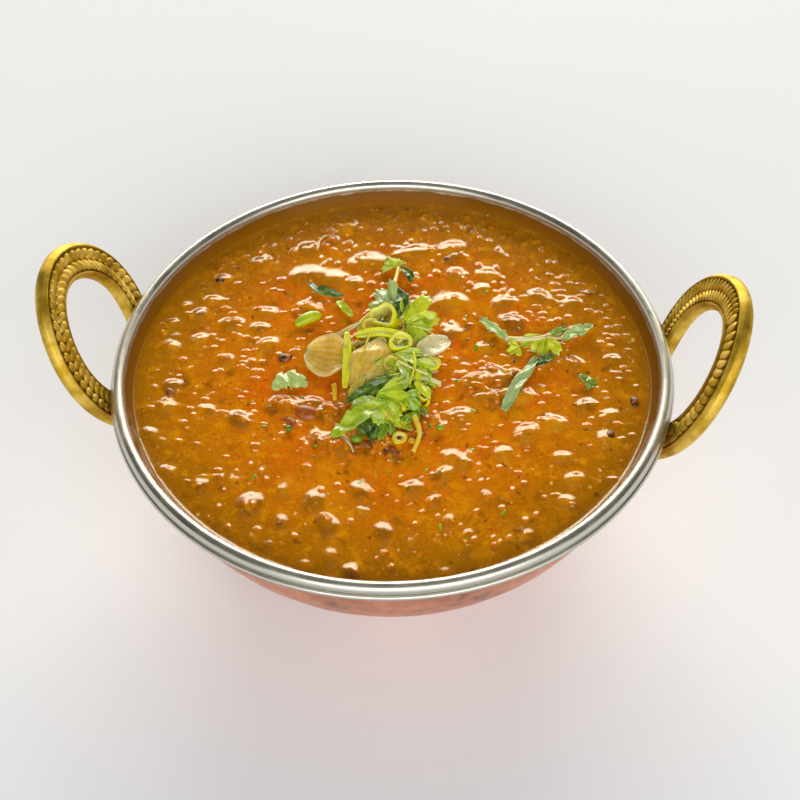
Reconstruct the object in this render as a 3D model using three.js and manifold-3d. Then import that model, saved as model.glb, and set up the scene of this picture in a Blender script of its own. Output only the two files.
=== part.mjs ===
// Dal makhani in a small karahi: a spun steel liner with a rolled rim, set in a copper shell,
// two cast brass loop handles, the dal up to its level, and chopped herbs on top.
// Millimetres, +Z up. The origin is the middle of the foot's underside, and X runs through
// both handles. The diner sits towards -Y.
import * as THREE from "three";
import { mergeVertices } from "three/addons/utils/BufferGeometryUtils.js";
import Module from "manifold-3d";

// Driving dimensions
const rimDiameter = 150; // over the rolled rim
const beadDiameter = 4; // the roll itself
const beadHeight = 54; // middle of the roll above the table
const wallRadius = 73; // the copper's outer face is part of a ball of this radius
const wallRise = 10; // the middle of that ball above the middle of the roll
const footCorner = 6; // rounding between foot and wall
const copperGauge = 1.2;
const steelGauge = 1.5;
const seat = 0.3; // free gap between pieces that touch
const dalDepthBelowRoll = 3.8; // the dal's level under the middle of the roll
const handleSpread = 18; // half the loop's width where it crosses the roll's level
const handleReach = 27.6; // from there to the loop's top
const handleEnds = 28; // degrees that the loop runs on below its middle, on each side
const handleBand = 10; // width of the patterned face
const handleDepth = 4.4; // from the patterned face to the back

const segments = 56;
const beadRadius = beadDiameter / 2;
const beadCentre = rimDiameter / 2 - beadRadius;
const wallCentre = beadHeight + wallRise;
const dalLevel = beadHeight - dalDepthBelowRoll;
const steelInset = copperGauge + seat;
const dishInset = steelInset + steelGauge;
const dalInset = dishInset + seat;
const shellTop = beadHeight - beadRadius - 0.4;

const wasm = await Module();
wasm.setup();

const materials = {
  steel: new THREE.MeshStandardMaterial({ color: 0xc9c9c4, roughness: 0.22, metalness: 1 }),
  copper: new THREE.MeshStandardMaterial({ color: 0xb5775a, roughness: 0.4, metalness: 1 }),
  brass: new THREE.MeshStandardMaterial({ color: 0xb08a2c, roughness: 0.38, metalness: 1 }),
  dal: new THREE.MeshStandardMaterial({ color: 0xb4640c, roughness: 0.3, metalness: 0 }),
  herb: new THREE.MeshStandardMaterial({ color: 0x7d9b1e, roughness: 0.5, metalness: 0 }),
};

const root = new THREE.Group();
const degrees = Math.PI / 180;

function addMesh(name, geometry, material, parent = root) {
  const mesh = new THREE.Mesh(geometry, material);
  mesh.name = name;
  parent.add(mesh);
  return mesh;
}

// Turns a profile of (radius, height) points round the vertical axis.
function lathe(points) {
  const geometry = new THREE.LatheGeometry(points, segments);
  geometry.rotateX(90 * degrees);
  return geometry;
}

function arc(x, y, radius, from, to, steps) {
  return Array.from({ length: steps + 1 }, (_, i) => {
    const angle = from + ((to - from) * i) / steps;
    return new THREE.Vector2(x + radius * Math.cos(angle), y + radius * Math.sin(angle));
  });
}

// The bowl's profile a distance inset inside the copper's outer face: flat floor, rounded
// corner and ball-shaped wall, from the axis out and up to the height top.
function bowlProfile(inset, top, wallSteps = 6) {
  const cornerX = Math.sqrt((wallRadius - footCorner) ** 2 - (wallCentre - footCorner) ** 2);
  const meeting = Math.atan2(footCorner - wallCentre, cornerX);
  const rim = Math.asin((top - wallCentre) / (wallRadius - inset));
  return [
    new THREE.Vector2(0, inset),
    ...arc(cornerX, footCorner, footCorner - inset, -90 * degrees, meeting, 2),
    ...arc(0, wallCentre, wallRadius - inset, meeting, rim, wallSteps).slice(1),
  ];
}

// The steel liner: dished inside, flared to the roll, and rolled outwards over the copper.
function steelLiner() {
  const flareStart = beadHeight - 6;
  const inside = bowlProfile(dishInset, flareStart);
  const flare = [
    [beadCentre - 4.1, -4],
    [beadCentre - 3.25, -2.2],
    [beadCentre - 2.4, -0.9],
  ].map(([r, z]) => new THREE.Vector2(r, beadHeight + z));
  const roll = arc(beadCentre, beadHeight, beadRadius, -140 * degrees, 180 * degrees, 9);
  const outside = bowlProfile(steelInset, beadHeight - 1.9);
  return lathe([...outside, ...roll, ...[...inside, ...flare].reverse()]);
}

function copperShell() {
  const outside = bowlProfile(0, shellTop);
  const inside = bowlProfile(copperGauge, shellTop);
  return lathe([...outside, ...inside.reverse()]);
}

// Lumps that stand in the dal: beans and soft tomato under the gravy.
// x, y, length, width, height and the turn of the length from X, in degrees.
const lumps = [
  [-18.5, -15.5, 17, 10, 1.1, 8],
  [-15, -27.5, 13, 10, 1.0, -20],
  [27, 2, 17, 12, 1.1, 15],
  [-32.3, -47.5, 12, 8, 1.0, 5],
  [-6, -42, 10, 7, 0.8, 0],
  [-11.5, -52, 11, 7, 0.8, -8],
  [14, -22, 11, 8, 0.9, 30],
  [40, -22, 10, 7, 0.8, 12],
  [-22, 46, 15, 8, 0.7, 0],
  [6, 48, 14, 8, 0.7, 10],
  [31, 33, 9, 7, 0.8, -15],
  [-52, -9, 9, 7, 0.7, 20],
];

// Height of the dal's surface over its level.
function relief(x, y) {
  const edge = THREE.MathUtils.smoothstep(64 - Math.hypot(x, y), 0, 8);
  const swell = 0.12 * Math.sin(x / 7) * Math.cos(y / 9 + 1);
  const heights = lumps.map(([lx, ly, length, width, height, turn]) => {
    const c = Math.cos(turn * degrees);
    const s = Math.sin(turn * degrees);
    const along = ((x - lx) * c + (y - ly) * s) / (length / 2);
    const across = ((y - ly) * c - (x - lx) * s) / (width / 2);
    return height * Math.exp(-1.4 * (along ** 2 + across ** 2));
  });
  return edge * (swell + Math.max(...heights));
}

// Lifts every point that lies at the height level by height(x, y).
function raise(geometry, level, height) {
  const p = geometry.attributes.position;
  for (let i = 0; i < p.count; i++) {
    if (Math.abs(p.getZ(i) - level) < 1e-3) {
      p.setZ(i, level + height(p.getX(i), p.getY(i)));
    }
  }
  return geometry;
}

function dal() {
  const rings = 10;
  const under = bowlProfile(dalInset, dalLevel, 6);
  const brim = under.at(-1).x;
  const top = Array.from({ length: rings }, (_, i) => {
    const r = i === rings - 1 ? 0 : brim * (1 - (i + 1) / rings);
    return new THREE.Vector2(r, dalLevel);
  });
  return raise(lathe([...under, ...top]), dalLevel, relief);
}

// Where a loop handle runs, for an angle of 0 to 180 degrees over its top:
// out from the bowl's axis, along the rim, and up.
function handlePoint(angle) {
  const rise = Math.sin(angle);
  const up = handleReach * rise - 4.1; // above the middle of the roll
  const swell = 1 + 0.62 * rise - 0.35 * rise ** 2; // widest a little above the rim
  return new THREE.Vector3(lean(up), handleSpread * Math.cos(angle) * swell, beadHeight + up);
}

// The handle's distance from the axis at a height above the middle of the roll.
function lean(up) {
  return 76.6 + 0.4 * up + 0.003 * up * Math.abs(up);
}

// A cast handle: a band with a flat patterned face towards the bowl and a rounded back.
function handleSolid() {
  const steps = 28;
  const sides = 10;
  const positions = [];
  for (let i = 0; i <= steps; i++) {
    const angle = (-handleEnds + ((180 + 2 * handleEnds) * i) / steps) * degrees;
    const point = handlePoint(angle);
    const step = 0.01;
    const tangent = handlePoint(angle + step).sub(handlePoint(angle - step)).normalize();
    const side = new THREE.Vector3(-1, 0, 0.45).cross(tangent).normalize().negate();
    const face = new THREE.Vector3().crossVectors(side, tangent);
    const fromEnd = (Math.min(i, steps - i) + 0.4) / 2;
    const roundOff = fromEnd < 1 ? Math.sqrt(1 - (1 - fromEnd) ** 2) : 1;
    const width = (handleBand / 2) * (0.92 + 0.08 * Math.sin(angle)) * roundOff;
    const depth = (handleDepth / 2) * roundOff;
    for (let k = 0; k < sides; k++) {
      const turn = ((k + 0.5) / sides) * 360 * degrees;
      const a = width * Math.sign(Math.cos(turn)) * Math.abs(Math.cos(turn)) ** 0.6;
      const bulge = Math.sin(turn) > 0 ? 0.45 : 0.8; // flatter on the patterned face
      const b = depth * Math.sign(Math.sin(turn)) * Math.abs(Math.sin(turn)) ** bulge;
      const corner = point.clone().addScaledVector(side, a).addScaledVector(face, b);
      positions.push(corner.x, corner.y, corner.z);
    }
  }
  const index = [];
  for (let i = 0; i < steps; i++) {
    for (let k = 0; k < sides; k++) {
      const a = i * sides + k;
      const b = i * sides + ((k + 1) % sides);
      index.push(a, a + sides, b, b, a + sides, b + sides);
    }
  }
  for (let k = 1; k < sides - 1; k++) {
    const last = steps * sides;
    index.push(0, k, k + 1, last, last + k + 1, last + k);
  }
  const geometry = new THREE.BufferGeometry();
  geometry.setAttribute("position", new THREE.Float32BufferAttribute(positions, 3));
  geometry.setIndex(index);
  return geometry;
}

function toSolid(geometry) {
  const bare = geometry.clone();
  bare.deleteAttribute("normal");
  bare.deleteAttribute("uv");
  const merged = mergeVertices(bare, 1e-3);
  return new wasm.Manifold(
    new wasm.Mesh({
      numProp: 3,
      vertProperties: merged.attributes.position.array,
      triVerts: new Uint32Array(merged.index.array),
    }),
  );
}

function toGeometry(solid) {
  const mesh = solid.getMesh();
  const geometry = new THREE.BufferGeometry();
  geometry.setAttribute("position", new THREE.BufferAttribute(mesh.vertProperties, 3));
  geometry.setIndex(new THREE.BufferAttribute(mesh.triVerts, 1));
  geometry.computeVertexNormals();
  return geometry;
}

// The handle's ends are cut to the shell that they are brazed to.
function fittedHandle() {
  const body = lathe([...bowlProfile(-seat, shellTop, 10), new THREE.Vector2(0, shellTop)]);
  return toGeometry(toSolid(handleSolid()).subtract(toSolid(body)));
}

// An uneven mound of chopped coriander, spring onion and sliced onion.
function garnishHeap() {
  const rings = 7;
  const heapHeight = 6.5;
  const floor = dalLevel + 1.2;
  const profile = [new THREE.Vector2(0, floor), new THREE.Vector2(1, floor)];
  for (let i = 1; i <= rings; i++) {
    profile.push(new THREE.Vector2(i === rings ? 0 : 1 - i / rings, floor + 1));
  }
  const geometry = new THREE.LatheGeometry(profile, 28);
  geometry.rotateX(90 * degrees);
  const p = geometry.attributes.position;
  for (let i = 0; i < p.count; i++) {
    const share = Math.hypot(p.getX(i), p.getY(i));
    const angle = Math.atan2(p.getY(i), p.getX(i));
    const outline = 1 + 0.12 * Math.cos(3 * angle + 1.6) + 0.05 * Math.cos(7 * angle);
    const hump = 2 * Math.sin(4 * angle) * share * (1 - share);
    const top = p.getZ(i) > floor + 0.5;
    const height = top ? 0.5 + (heapHeight + hump) * Math.sqrt(Math.max(0, 1 - share ** 2)) : 0;
    p.setXYZ(i, 18.5 * outline * p.getX(i), 28 * outline * p.getY(i), floor + height);
  }
  return geometry;
}

// A flat blade along a centreline of [x, y, half width] stations, thickness thick.
function blade(stations, thickness) {
  const path = new THREE.CatmullRomCurve3(stations.map(([x, y, w]) => new THREE.Vector3(x, y, w)));
  const samples = path.getPoints(stations.length * 3);
  const left = [];
  const right = [];
  samples.forEach((sample, i) => {
    const before = samples[Math.max(0, i - 1)];
    const after = samples[Math.min(samples.length - 1, i + 1)];
    const along = new THREE.Vector2(after.x - before.x, after.y - before.y).normalize();
    const half = Math.max(0.25, sample.z);
    left.push(new THREE.Vector2(sample.x - along.y * half, sample.y + along.x * half));
    right.push(new THREE.Vector2(sample.x + along.y * half, sample.y - along.x * half));
  });
  const outline = new THREE.Shape([...right, ...left.reverse()]);
  return new THREE.ExtrudeGeometry(outline, { depth: thickness, bevelEnabled: false });
}

const leafThickness = 0.8;
const sprigFloor = dalLevel + 1.5; // above the lumps beneath it

// The coriander sprig on the right: a stem with a leaf at each end, and one that hangs down.
function corianderSprig() {
  const stem = blade(
    [
      [22.6, 20, 0.5],
      [25.8, 15.8, 1.5],
      [29.5, 12.8, 1],
      [34, 12, 0.7],
      [39, 12.1, 1],
      [44.5, 13.6, 1.2],
      [49, 15.6, 1.7],
      [53.5, 19.6, 0.5],
    ],
    leafThickness,
  );
  const tail = blade(
    [
      [42.2, 12.8, 1.2],
      [41.4, 8, 1.8],
      [39.2, 3.4, 1.2],
      [37.2, 0, 1],
      [35.4, -6, 1.5],
      [33.2, -11, 1.9],
      [31.4, -14.6, 0.8],
    ],
    leafThickness,
  );
  const geometry = toGeometry(toSolid(stem).add(toSolid(tail)));
  geometry.translate(0, 0, sprigFloor);
  return geometry;
}

// Loose leaf pieces: name, x, y, length, half width and turn from X in degrees.
const loosePieces = [
  ["leaf_back", -20, 28.7, 9, 1.7, -14],
  ["leaf_left", -25.2, 17.8, 7, 1.5, 22],
  ["leaf_front", -27.5, -7, 8, 2.2, 8],
  ["leaf_right", 53, -1, 6, 1.9, -10],
];

function loosePiece(length, half) {
  return blade(
    [
      [-length / 2, 0, 0.4],
      [-length / 4, 0, half * 0.8],
      [0, 0, half],
      [length / 4, 0, half * 0.8],
      [length / 2, 0, 0.4],
    ],
    leafThickness,
  );
}

addMesh("copper_shell", copperShell(), materials.copper);
addMesh("steel_bowl", steelLiner(), materials.steel);
addMesh("dal", dal(), materials.dal);
const handle = fittedHandle();
addMesh("handle_right", handle, materials.brass);
addMesh("handle_left", handle, materials.brass).rotation.z = 180 * degrees;
addMesh("garnish_heap", garnishHeap(), materials.herb).position.set(-4, 2, 0);
addMesh("coriander_sprig", corianderSprig(), materials.herb);
for (const [name, x, y, length, half, turn] of loosePieces) {
  const piece = addMesh(name, loosePiece(length, half), materials.herb);
  piece.position.set(x, y, dalLevel + 0.9);
  piece.rotation.z = turn * degrees;
}

export default root;
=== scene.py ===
import math
import random

import bpy
import numpy as np
from mathutils import Matrix, Vector


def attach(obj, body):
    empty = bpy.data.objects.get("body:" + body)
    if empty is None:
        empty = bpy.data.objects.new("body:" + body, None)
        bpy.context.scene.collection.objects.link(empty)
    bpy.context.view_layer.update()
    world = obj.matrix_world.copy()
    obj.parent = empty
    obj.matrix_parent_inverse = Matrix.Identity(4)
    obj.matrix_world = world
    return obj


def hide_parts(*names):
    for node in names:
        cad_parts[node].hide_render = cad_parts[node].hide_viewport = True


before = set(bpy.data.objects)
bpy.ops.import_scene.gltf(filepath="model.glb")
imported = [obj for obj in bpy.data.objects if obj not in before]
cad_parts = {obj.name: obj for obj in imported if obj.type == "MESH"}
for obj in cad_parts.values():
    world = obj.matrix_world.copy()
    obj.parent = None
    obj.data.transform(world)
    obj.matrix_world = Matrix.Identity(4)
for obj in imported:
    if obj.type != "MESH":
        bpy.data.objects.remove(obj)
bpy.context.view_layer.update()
mm = 0.001

# The karahi's own sizes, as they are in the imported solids
karahi = {
    "rimRadius": 75 * mm,
    "rollRadius": 2 * mm,
    "rollHeight": 54 * mm,  # middle of the roll
    "wallRadius": 73 * mm,  # the shell's outside is part of a ball
    "wallRise": 10 * mm,  # the ball's middle above the roll's
    "footCorner": 6 * mm,
    "copperGauge": 1.2 * mm,
    "copperGap": 0.4 * mm,  # between the shell's top and the roll
    "steelInset": 1.5 * mm,
    "dishInset": 3.0 * mm,
    "dalInset": 3.3 * mm,
    "dalDepth": 3.8 * mm,  # the gravy's level under the roll's middle
}
rollCentre = karahi["rimRadius"] - karahi["rollRadius"]
wallCentre = karahi["rollHeight"] + karahi["wallRise"]
dalLevel = karahi["rollHeight"] - karahi["dalDepth"]


def meshPiece(name, points, faces):
    mesh = bpy.data.meshes.new(name)
    mesh.from_pydata([tuple(p) for p in points], [], faces)
    mesh.validate()
    mesh.shade_smooth()
    piece = bpy.data.objects.new(name, mesh)
    bpy.context.scene.collection.objects.link(piece)
    return piece


def writeMark(piece, name, values, kind="FLOAT"):  # one value for each point
    key = "value" if kind == "FLOAT" else "vector"
    piece.data.attributes.new(name, kind, "POINT").data.foreach_set(key, values)


def bands(rows, outward=True):  # quads between neighbouring rings of points
    faces = []
    for low, high in zip(rows, rows[1:]):
        for k in range(len(low)):
            j = (k + 1) % len(low)
            quad = (low[k], high[k], high[j], low[j])
            faces.append(quad if outward else quad[:1] + quad[:0:-1])
    return faces


def settle(piece, slot, *nodes):  # last call on a piece of the object
    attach(piece, "root")
    if nodes:
        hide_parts(*nodes)
    return piece


def isSocket(value):
    return isinstance(value, bpy.types.NodeSocket)


def plug(made, inputs):  # links a node's inputs to sockets, and sets the others
    for key, value in inputs.items():
        if isSocket(value):
            made.id_data.links.new(value, made.inputs[key])
        else:
            made.inputs[key].default_value = value


def node(tree, kind, inputs=None, **settings):
    made = tree.nodes.new(kind)
    for key, value in settings.items():
        setattr(made, key, value)
    plug(made, inputs or {})
    return made


def treeOf(values):  # the tree that these sockets are in
    return next(value.id_data for value in values if isSocket(value))


def floatMath(operation, *values):
    return node(treeOf(values), "ShaderNodeMath", dict(enumerate(values)), operation=operation).outputs[0]


def times(a, b):
    return floatMath("MULTIPLY", a, b)


def plus(a, b):
    return floatMath("ADD", a, b)


def minus(a, b):
    return floatMath("SUBTRACT", a, b)


def swing(noise, amount, middle=0.0):  # a noise of 0 to 1, made to go both ways from a middle
    return floatMath("MULTIPLY_ADD", minus(noise, 0.5), amount, middle)


def vectorMath(operation, *values):
    keys = (0, "Scale") if operation == "SCALE" else range(len(values))
    made = node(treeOf(values), "ShaderNodeVectorMath", dict(zip(keys, values)), operation=operation)
    return made.outputs["Value" if operation == "LENGTH" else "Vector"]


def xyz(x=0.0, y=0.0, z=0.0):
    return node(treeOf((x, y, z)), "ShaderNodeCombineXYZ", {0: x, 1: y, 2: z}).outputs[0]


def heightOf(vector):
    return node(vector.id_data, "ShaderNodeSeparateXYZ", {0: vector}).outputs["Z"]


def fromAxis(vector):  # how far a place is from the karahi's upright axis
    return vectorMath("LENGTH", vectorMath("MULTIPLY", vector, (1, 1, 0)))


def between(value, low, high, top=1.0, bottom=0.0):  # low becomes bottom, and high becomes top
    return node(value.id_data, "ShaderNodeMapRange", {
        "Value": value, "From Min": low, "From Max": high, "To Min": bottom, "To Max": top}).outputs[0]


def newMaterial(name):
    material = bpy.data.materials.new(name)
    material.use_nodes = True
    tree = material.node_tree
    tree.nodes.clear()
    shader = node(tree, "ShaderNodeBsdfPrincipled")
    node(tree, "ShaderNodeOutputMaterial", {"Surface": shader.outputs[0]})
    return material, shader, node(tree, "ShaderNodeTexCoord").outputs["Object"]


def readMark(shader, name):  # a value that the piece's points carry
    return node(shader.id_data, "ShaderNodeAttribute", attribute_name=name).outputs["Fac"]


def ramp(factor, *stops):  # stops: (position, (r, g, b))
    made = node(factor.id_data, "ShaderNodeValToRGB", {"Fac": factor})
    elements = made.color_ramp.elements
    while len(elements) < len(stops):
        elements.new(0.5)
    for element, (position, colour) in zip(elements, stops):
        element.position = position
        element.color = (*colour, 1)
    return made.outputs["Color"]


def srgb(r, g, b):  # screen values 0 to 255, to linear light
    return tuple((c / 255) ** 2.2 for c in (r, g, b))


def mixColour(factor, a, b):
    a, b = (colour if isSocket(colour) else (*colour, 1) for colour in (a, b))
    return node(factor.id_data, "ShaderNodeMix", {"Factor": factor, "A": a, "B": b},
                data_type="RGBA").outputs["Result"]


def noiseAt(where, size, detail=2.0, rough=0.5, kind="Fac"):
    return node(where.id_data, "ShaderNodeTexNoise", {
        "Vector": where, "Scale": 1 / size, "Detail": detail, "Roughness": rough}).outputs[kind]


def roughness(value, look, less, more, low=0.0, high=1.0):  # a little either side of the look's own
    return between(value, low, high, look["roughness"] + more, look["roughness"] - less)


def bump(height, strength, depth):
    return node(height.id_data, "ShaderNodeBump", {
        "Height": height, "Strength": strength, "Distance": depth}).outputs[0]


def newGeometryTree(name, inputs):  # inputs: each label with its first value, None for an object
    kinds = {float: "Float", int: "Int", bool: "Bool", tuple: "Vector", type(None): "Object"}
    tree = bpy.data.node_groups.new(name, "GeometryNodeTree")
    tree.interface.new_socket("Geometry", in_out="INPUT", socket_type="NodeSocketGeometry")
    for label, value in inputs.items():
        kind = "NodeSocket" + kinds[type(value)]
        socket = tree.interface.new_socket(label, in_out="INPUT", socket_type=kind)
        if value is not None:
            socket.default_value = value
    tree.interface.new_socket("Geometry", in_out="OUTPUT", socket_type="NodeSocketGeometry")
    return tree, node(tree, "NodeGroupInput").outputs


def geo(tree, kind, inputs=None, **settings):  # a geometry node's first output
    return node(tree, "GeometryNode" + kind, inputs, **settings).outputs[0]


def inObject(tree, piece):  # the geometry of another object
    return node(tree, "GeometryNodeObjectInfo", {"Object": piece}).outputs["Geometry"]


def stored(geometry, name, value, domain="POINT"):
    return geo(geometry.id_data, "StoreNamedAttribute", {
        "Geometry": geometry, "Name": name, "Value": value}, domain=domain)


def anyFrom(tree, low, high, seed):  # a random number, or a random vector
    kind, output = ("FLOAT_VECTOR", 0) if isinstance(low, tuple) else ("FLOAT", 1)
    return node(tree, "FunctionNodeRandomValue", {"Min": low, "Max": high, "Seed": seed},
                data_type=kind).outputs[output]


def endTree(geometry, material):
    tree = geometry.id_data
    realized = geo(tree, "RealizeInstances", {"Geometry": geometry})
    node(tree, "NodeGroupOutput", {
        "Geometry": geo(tree, "SetMaterial", {"Geometry": realized, "Material": material})})
    return tree


def runTree(piece, tree, settings):
    modifier = piece.modifiers.new(tree.name, "NODES")
    modifier.node_group = tree
    for item in tree.interface.items_tree:
        if item.in_out == "INPUT" and item.name in settings:
            modifier[item.identifier] = settings[item.name]
    piece.update_tag()
    depsgraph = bpy.context.evaluated_depsgraph_get()
    mesh = bpy.data.meshes.new_from_object(piece.evaluated_get(depsgraph))
    piece.modifiers.clear()
    piece.data = mesh
    mesh.name = piece.name
    return piece


def spin(profile, segments):  # turns (radius, height) points round the upright axis
    points, rows = [], []
    for radius, height in profile:
        count = segments if radius > 1e-6 else 1
        rows.append(range(len(points), len(points) + count))
        turns = np.arange(count) * 2 * math.pi / segments
        points += [(radius * math.cos(t), radius * math.sin(t), height) for t in turns]
    faces = []
    for low, high in zip(rows, rows[1:]):
        for i in range(segments):
            j = (i + 1) % segments
            if len(low) == 1:
                faces.append((low[0], high[j], high[i]))
            elif len(high) == 1:
                faces.append((low[i], low[j], high[0]))
            else:
                faces.append((low[i], low[j], high[j], high[i]))
    return points, faces


def arc(x, y, radius, start, stop, steps):
    angles = np.linspace(start, stop, steps + 1)
    return [(x + radius * math.cos(a), y + radius * math.sin(a)) for a in angles]


def bowlProfile(inset, top, wallSteps=40):  # from the axis out and up
    corner = karahi["footCorner"]
    ball = karahi["wallRadius"]
    cornerX = math.sqrt((ball - corner) ** 2 - (wallCentre - corner) ** 2)
    meeting = math.atan2(corner - wallCentre, cornerX)
    rim = math.asin((top - wallCentre) / (ball - inset))
    floor = [(cornerX * i / 12, inset) for i in range(12)]
    return (floor + arc(cornerX, corner, corner - inset, -math.pi / 2, meeting, 8)
            + arc(0, wallCentre, ball - inset, meeting, rim, wallSteps)[1:])


copperLook = {
    "bright": srgb(226, 158, 120),
    "dull": srgb(198, 130, 98),
    "spot": srgb(146, 92, 66),
    "roughness": 0.36,
    "hammerPitch": 6.5 * mm,
    "hammerDepth": 0.3 * mm,
}


def copperMaterial(look):
    material, shader, where = newMaterial("hammeredCopper")
    cloud = noiseAt(where, 14 * mm, 6, 0.68)
    streak = noiseAt(vectorMath("MULTIPLY", where, (1, 1, 0.35)), 3 * mm, 4, 0.6)
    mixed = floatMath("MULTIPLY_ADD", streak, 0.35, times(cloud, 0.65))
    plug(shader, {
        "Base Color": ramp(mixed, (0.36, look["spot"]), (0.46, look["dull"]), (0.6, look["bright"])),
        "Metallic": 1.0,
        "Roughness": roughness(cloud, look, 0.08, 0.12),
        "Normal": bump(noiseAt(where, 1.2 * mm, 3, 0.6), 0.12, 0.2 * mm),
    })
    return material


def hammerTree(material):  # shallow dents, one to a cell of an even scatter
    tree, given = newGeometryTree("hammerMarks", {
        "Pitch": 5 * mm, "Depth": 0.1 * mm, "Top": 50 * mm, "Seed": 3.0})
    cells = node(tree, "ShaderNodeTexVoronoi", {
        "Scale": floatMath("DIVIDE", 1.0, given["Pitch"]), "W": given["Seed"], "Smoothness": 0.35,
        "Randomness": 0.85}, voronoi_dimensions="4D", feature="SMOOTH_F1")
    dent = times(minus(cells.outputs["Distance"], 0.45), given["Depth"])
    height = heightOf(geo(tree, "InputPosition"))
    low = between(height, 5 * mm, 10 * mm)
    high = between(height, given["Top"], minus(given["Top"], 3 * mm))
    push = vectorMath("SCALE", geo(tree, "InputNormal"), times(dent, times(low, high)))
    return endTree(geo(tree, "SetPosition", {"Geometry": given["Geometry"], "Offset": push}), material)


def makeCopperShell():
    top = karahi["rollHeight"] - karahi["rollRadius"] - karahi["copperGap"]
    outside = bowlProfile(0, top, wallSteps=70)
    inside = bowlProfile(karahi["copperGauge"], top, wallSteps=6)
    points, faces = spin(outside + inside[::-1], segments=320)
    shell = meshPiece("copperShell", points, faces)
    tree = hammerTree(copperMaterial(copperLook))
    runTree(shell, tree, {"Pitch": copperLook["hammerPitch"], "Depth": copperLook["hammerDepth"], "Top": top})
    return settle(shell, "copper", "copper_shell")


makeCopperShell()
print("copper shell done")

rim = {
    "rollRadius": 1.6 * mm,  # the roll itself
    "rollIn": 0.22 * mm,
    "rollUp": 0.4 * mm,
    "lipRadius": 0.72 * mm,  # the edge that is tucked in under it
    "lipOut": 1.22 * mm,
    "lipDown": 1.4 * mm,
    "flareStart": 6 * mm,  # where the liner's wall turns out to the roll, under its middle
    "flare": [(4.1, 4), (3.6, 3.0), (3.1, 2.0), (2.6, 1.2), (2.15, 0.5), (1.9, 0.0)],  # mm in and down
    "skirt": 2.4 * mm,  # where its outside ends
}
steelLook = {
    "metal": srgb(196, 193, 180),
    "roughness": 0.36,
    "spinPitch": 0.35 * mm,  # fine lines left by spinning
    "filmTop": 4.6 * mm,  # how far gravy clings above its level
    "filmRagged": 1.2 * mm,
    "filmFade": 1.2 * mm,
    "wallEnd": 71.7 * mm,  # the film stays on the wall inside this
    # a real gravy stain, darkened as painted shade and painted reflection of the gravy; darker at its top as
    # painted shade
    "film": srgb(140, 86, 2),
    "filmTopStainAndShade": srgb(106, 70, 2),
    "filmGloss": 0.22,
}


def steelMaterial(look):
    material, shader, where = newMaterial("spunSteel")
    height, radius = heightOf(where), fromAxis(where)
    lines = noiseAt(xyz(radius, height), look["spinPitch"], 3, 0.6)
    rough = roughness(noiseAt(where, 9 * mm, 4, 0.65), look, 0.08, 0.12, 0.35, 0.7)
    # gravy film: thick at the level, thin and ragged at its top. Its colour is a real gravy stain, darkened
    # as painted shade and painted reflection of the gravy, and darker towards its top as painted shade
    above = plus(minus(height, dalLevel), swing(noiseAt(where, 5 * mm, 5, 0.65), look["filmRagged"]))
    wet = between(above, look["filmTop"], look["filmTop"] - look["filmFade"])
    inner = between(radius, look["wallEnd"], look["wallEnd"] - 0.5 * mm)
    film = times(wet, inner)
    # painted shade and painted reflection of the gravy on a real stain, darker towards the top
    filmStainAndShade = mixColour(between(above, look["filmTop"], 0.0), look["filmTopStainAndShade"], look["film"])
    plug(shader, {
        "Base Color": mixColour(film, look["metal"], filmStainAndShade),
        "Metallic": minus(1.0, times(film, 0.96)),
        "Roughness": between(film, 0.0, 1.0, look["filmGloss"], rough),
        "Specular IOR Level": 0.06,  # the film is matt, and metal doesn't use it
        "Normal": bump(lines, 0.1, 0.05 * mm),
    })
    return material


def makeSteelLiner():
    height = karahi["rollHeight"]
    inside = bowlProfile(karahi["dishInset"], height - rim["flareStart"], wallSteps=24)
    flare = [(rollCentre - back * mm, height - down * mm) for back, down in rim["flare"]]
    lip = arc(rollCentre + rim["lipOut"], height - rim["lipDown"], rim["lipRadius"],
              math.radians(-130), math.radians(150), steps=14)
    roll = arc(rollCentre - rim["rollIn"], height + rim["rollUp"], rim["rollRadius"],
               math.radians(-50), math.radians(188), steps=28)
    outside = bowlProfile(karahi["steelInset"], height - rim["skirt"], wallSteps=10)
    points, faces = spin(outside + lip + roll + (inside + flare)[::-1], segments=360)
    liner = meshPiece("steelLiner", points, faces)
    liner.data.materials.append(steelMaterial(steelLook))
    return settle(liner, "steel", "steel_bowl")


makeSteelLiner()
print("steel liner done")

handle = {
    "spread": 18 * mm,
    "reach": 27.6 * mm,
    "ends": 28,  # degrees past the middle on each side
    "low": 4.1 * mm,
    "rootOut": 76.6 * mm,  # the limb's middle at the roll's height, from the karahi's axis
    "leanOut": 0.4,
    "curlOut": 3,
    "facing": (-1, 0, 0.45),
    "band": 10 * mm,
    "depth": 4.4 * mm,
    "channel": 3.4 * mm,  # half width of the sunk patterned channel
    "sunk": 0.28 * mm,
}
# Grains along the limb: pitch, length, width, height, how far off the middle, slant and lift in degrees
grainRows = {
    "ear": (2.55, 4.3, 2.7, 1.5, 1.45, 38, 13),
    "scales": (2.4, 4.0, 4.6, 1.5, 0.0, 0, 16),
    "fan": (1.7, 4.2, 1.6, 1.2, 1.45, 55, 8),
}
# Which grains run where: from and to, in degrees along the limb
handleRuns = {
    "Left": [("ear", -16, 196)],
    "Right": [("fan", -16, 92), ("scales", 96, 170), ("ear", 174, 196)],
}
brassLook = {
    "bright": srgb(226, 192, 92),
    "aged": srgb(192, 156, 50),
    "dirt": srgb(156, 126, 38),
    "pit": srgb(142, 108, 30),
    "roughness": 0.56,
}


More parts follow.
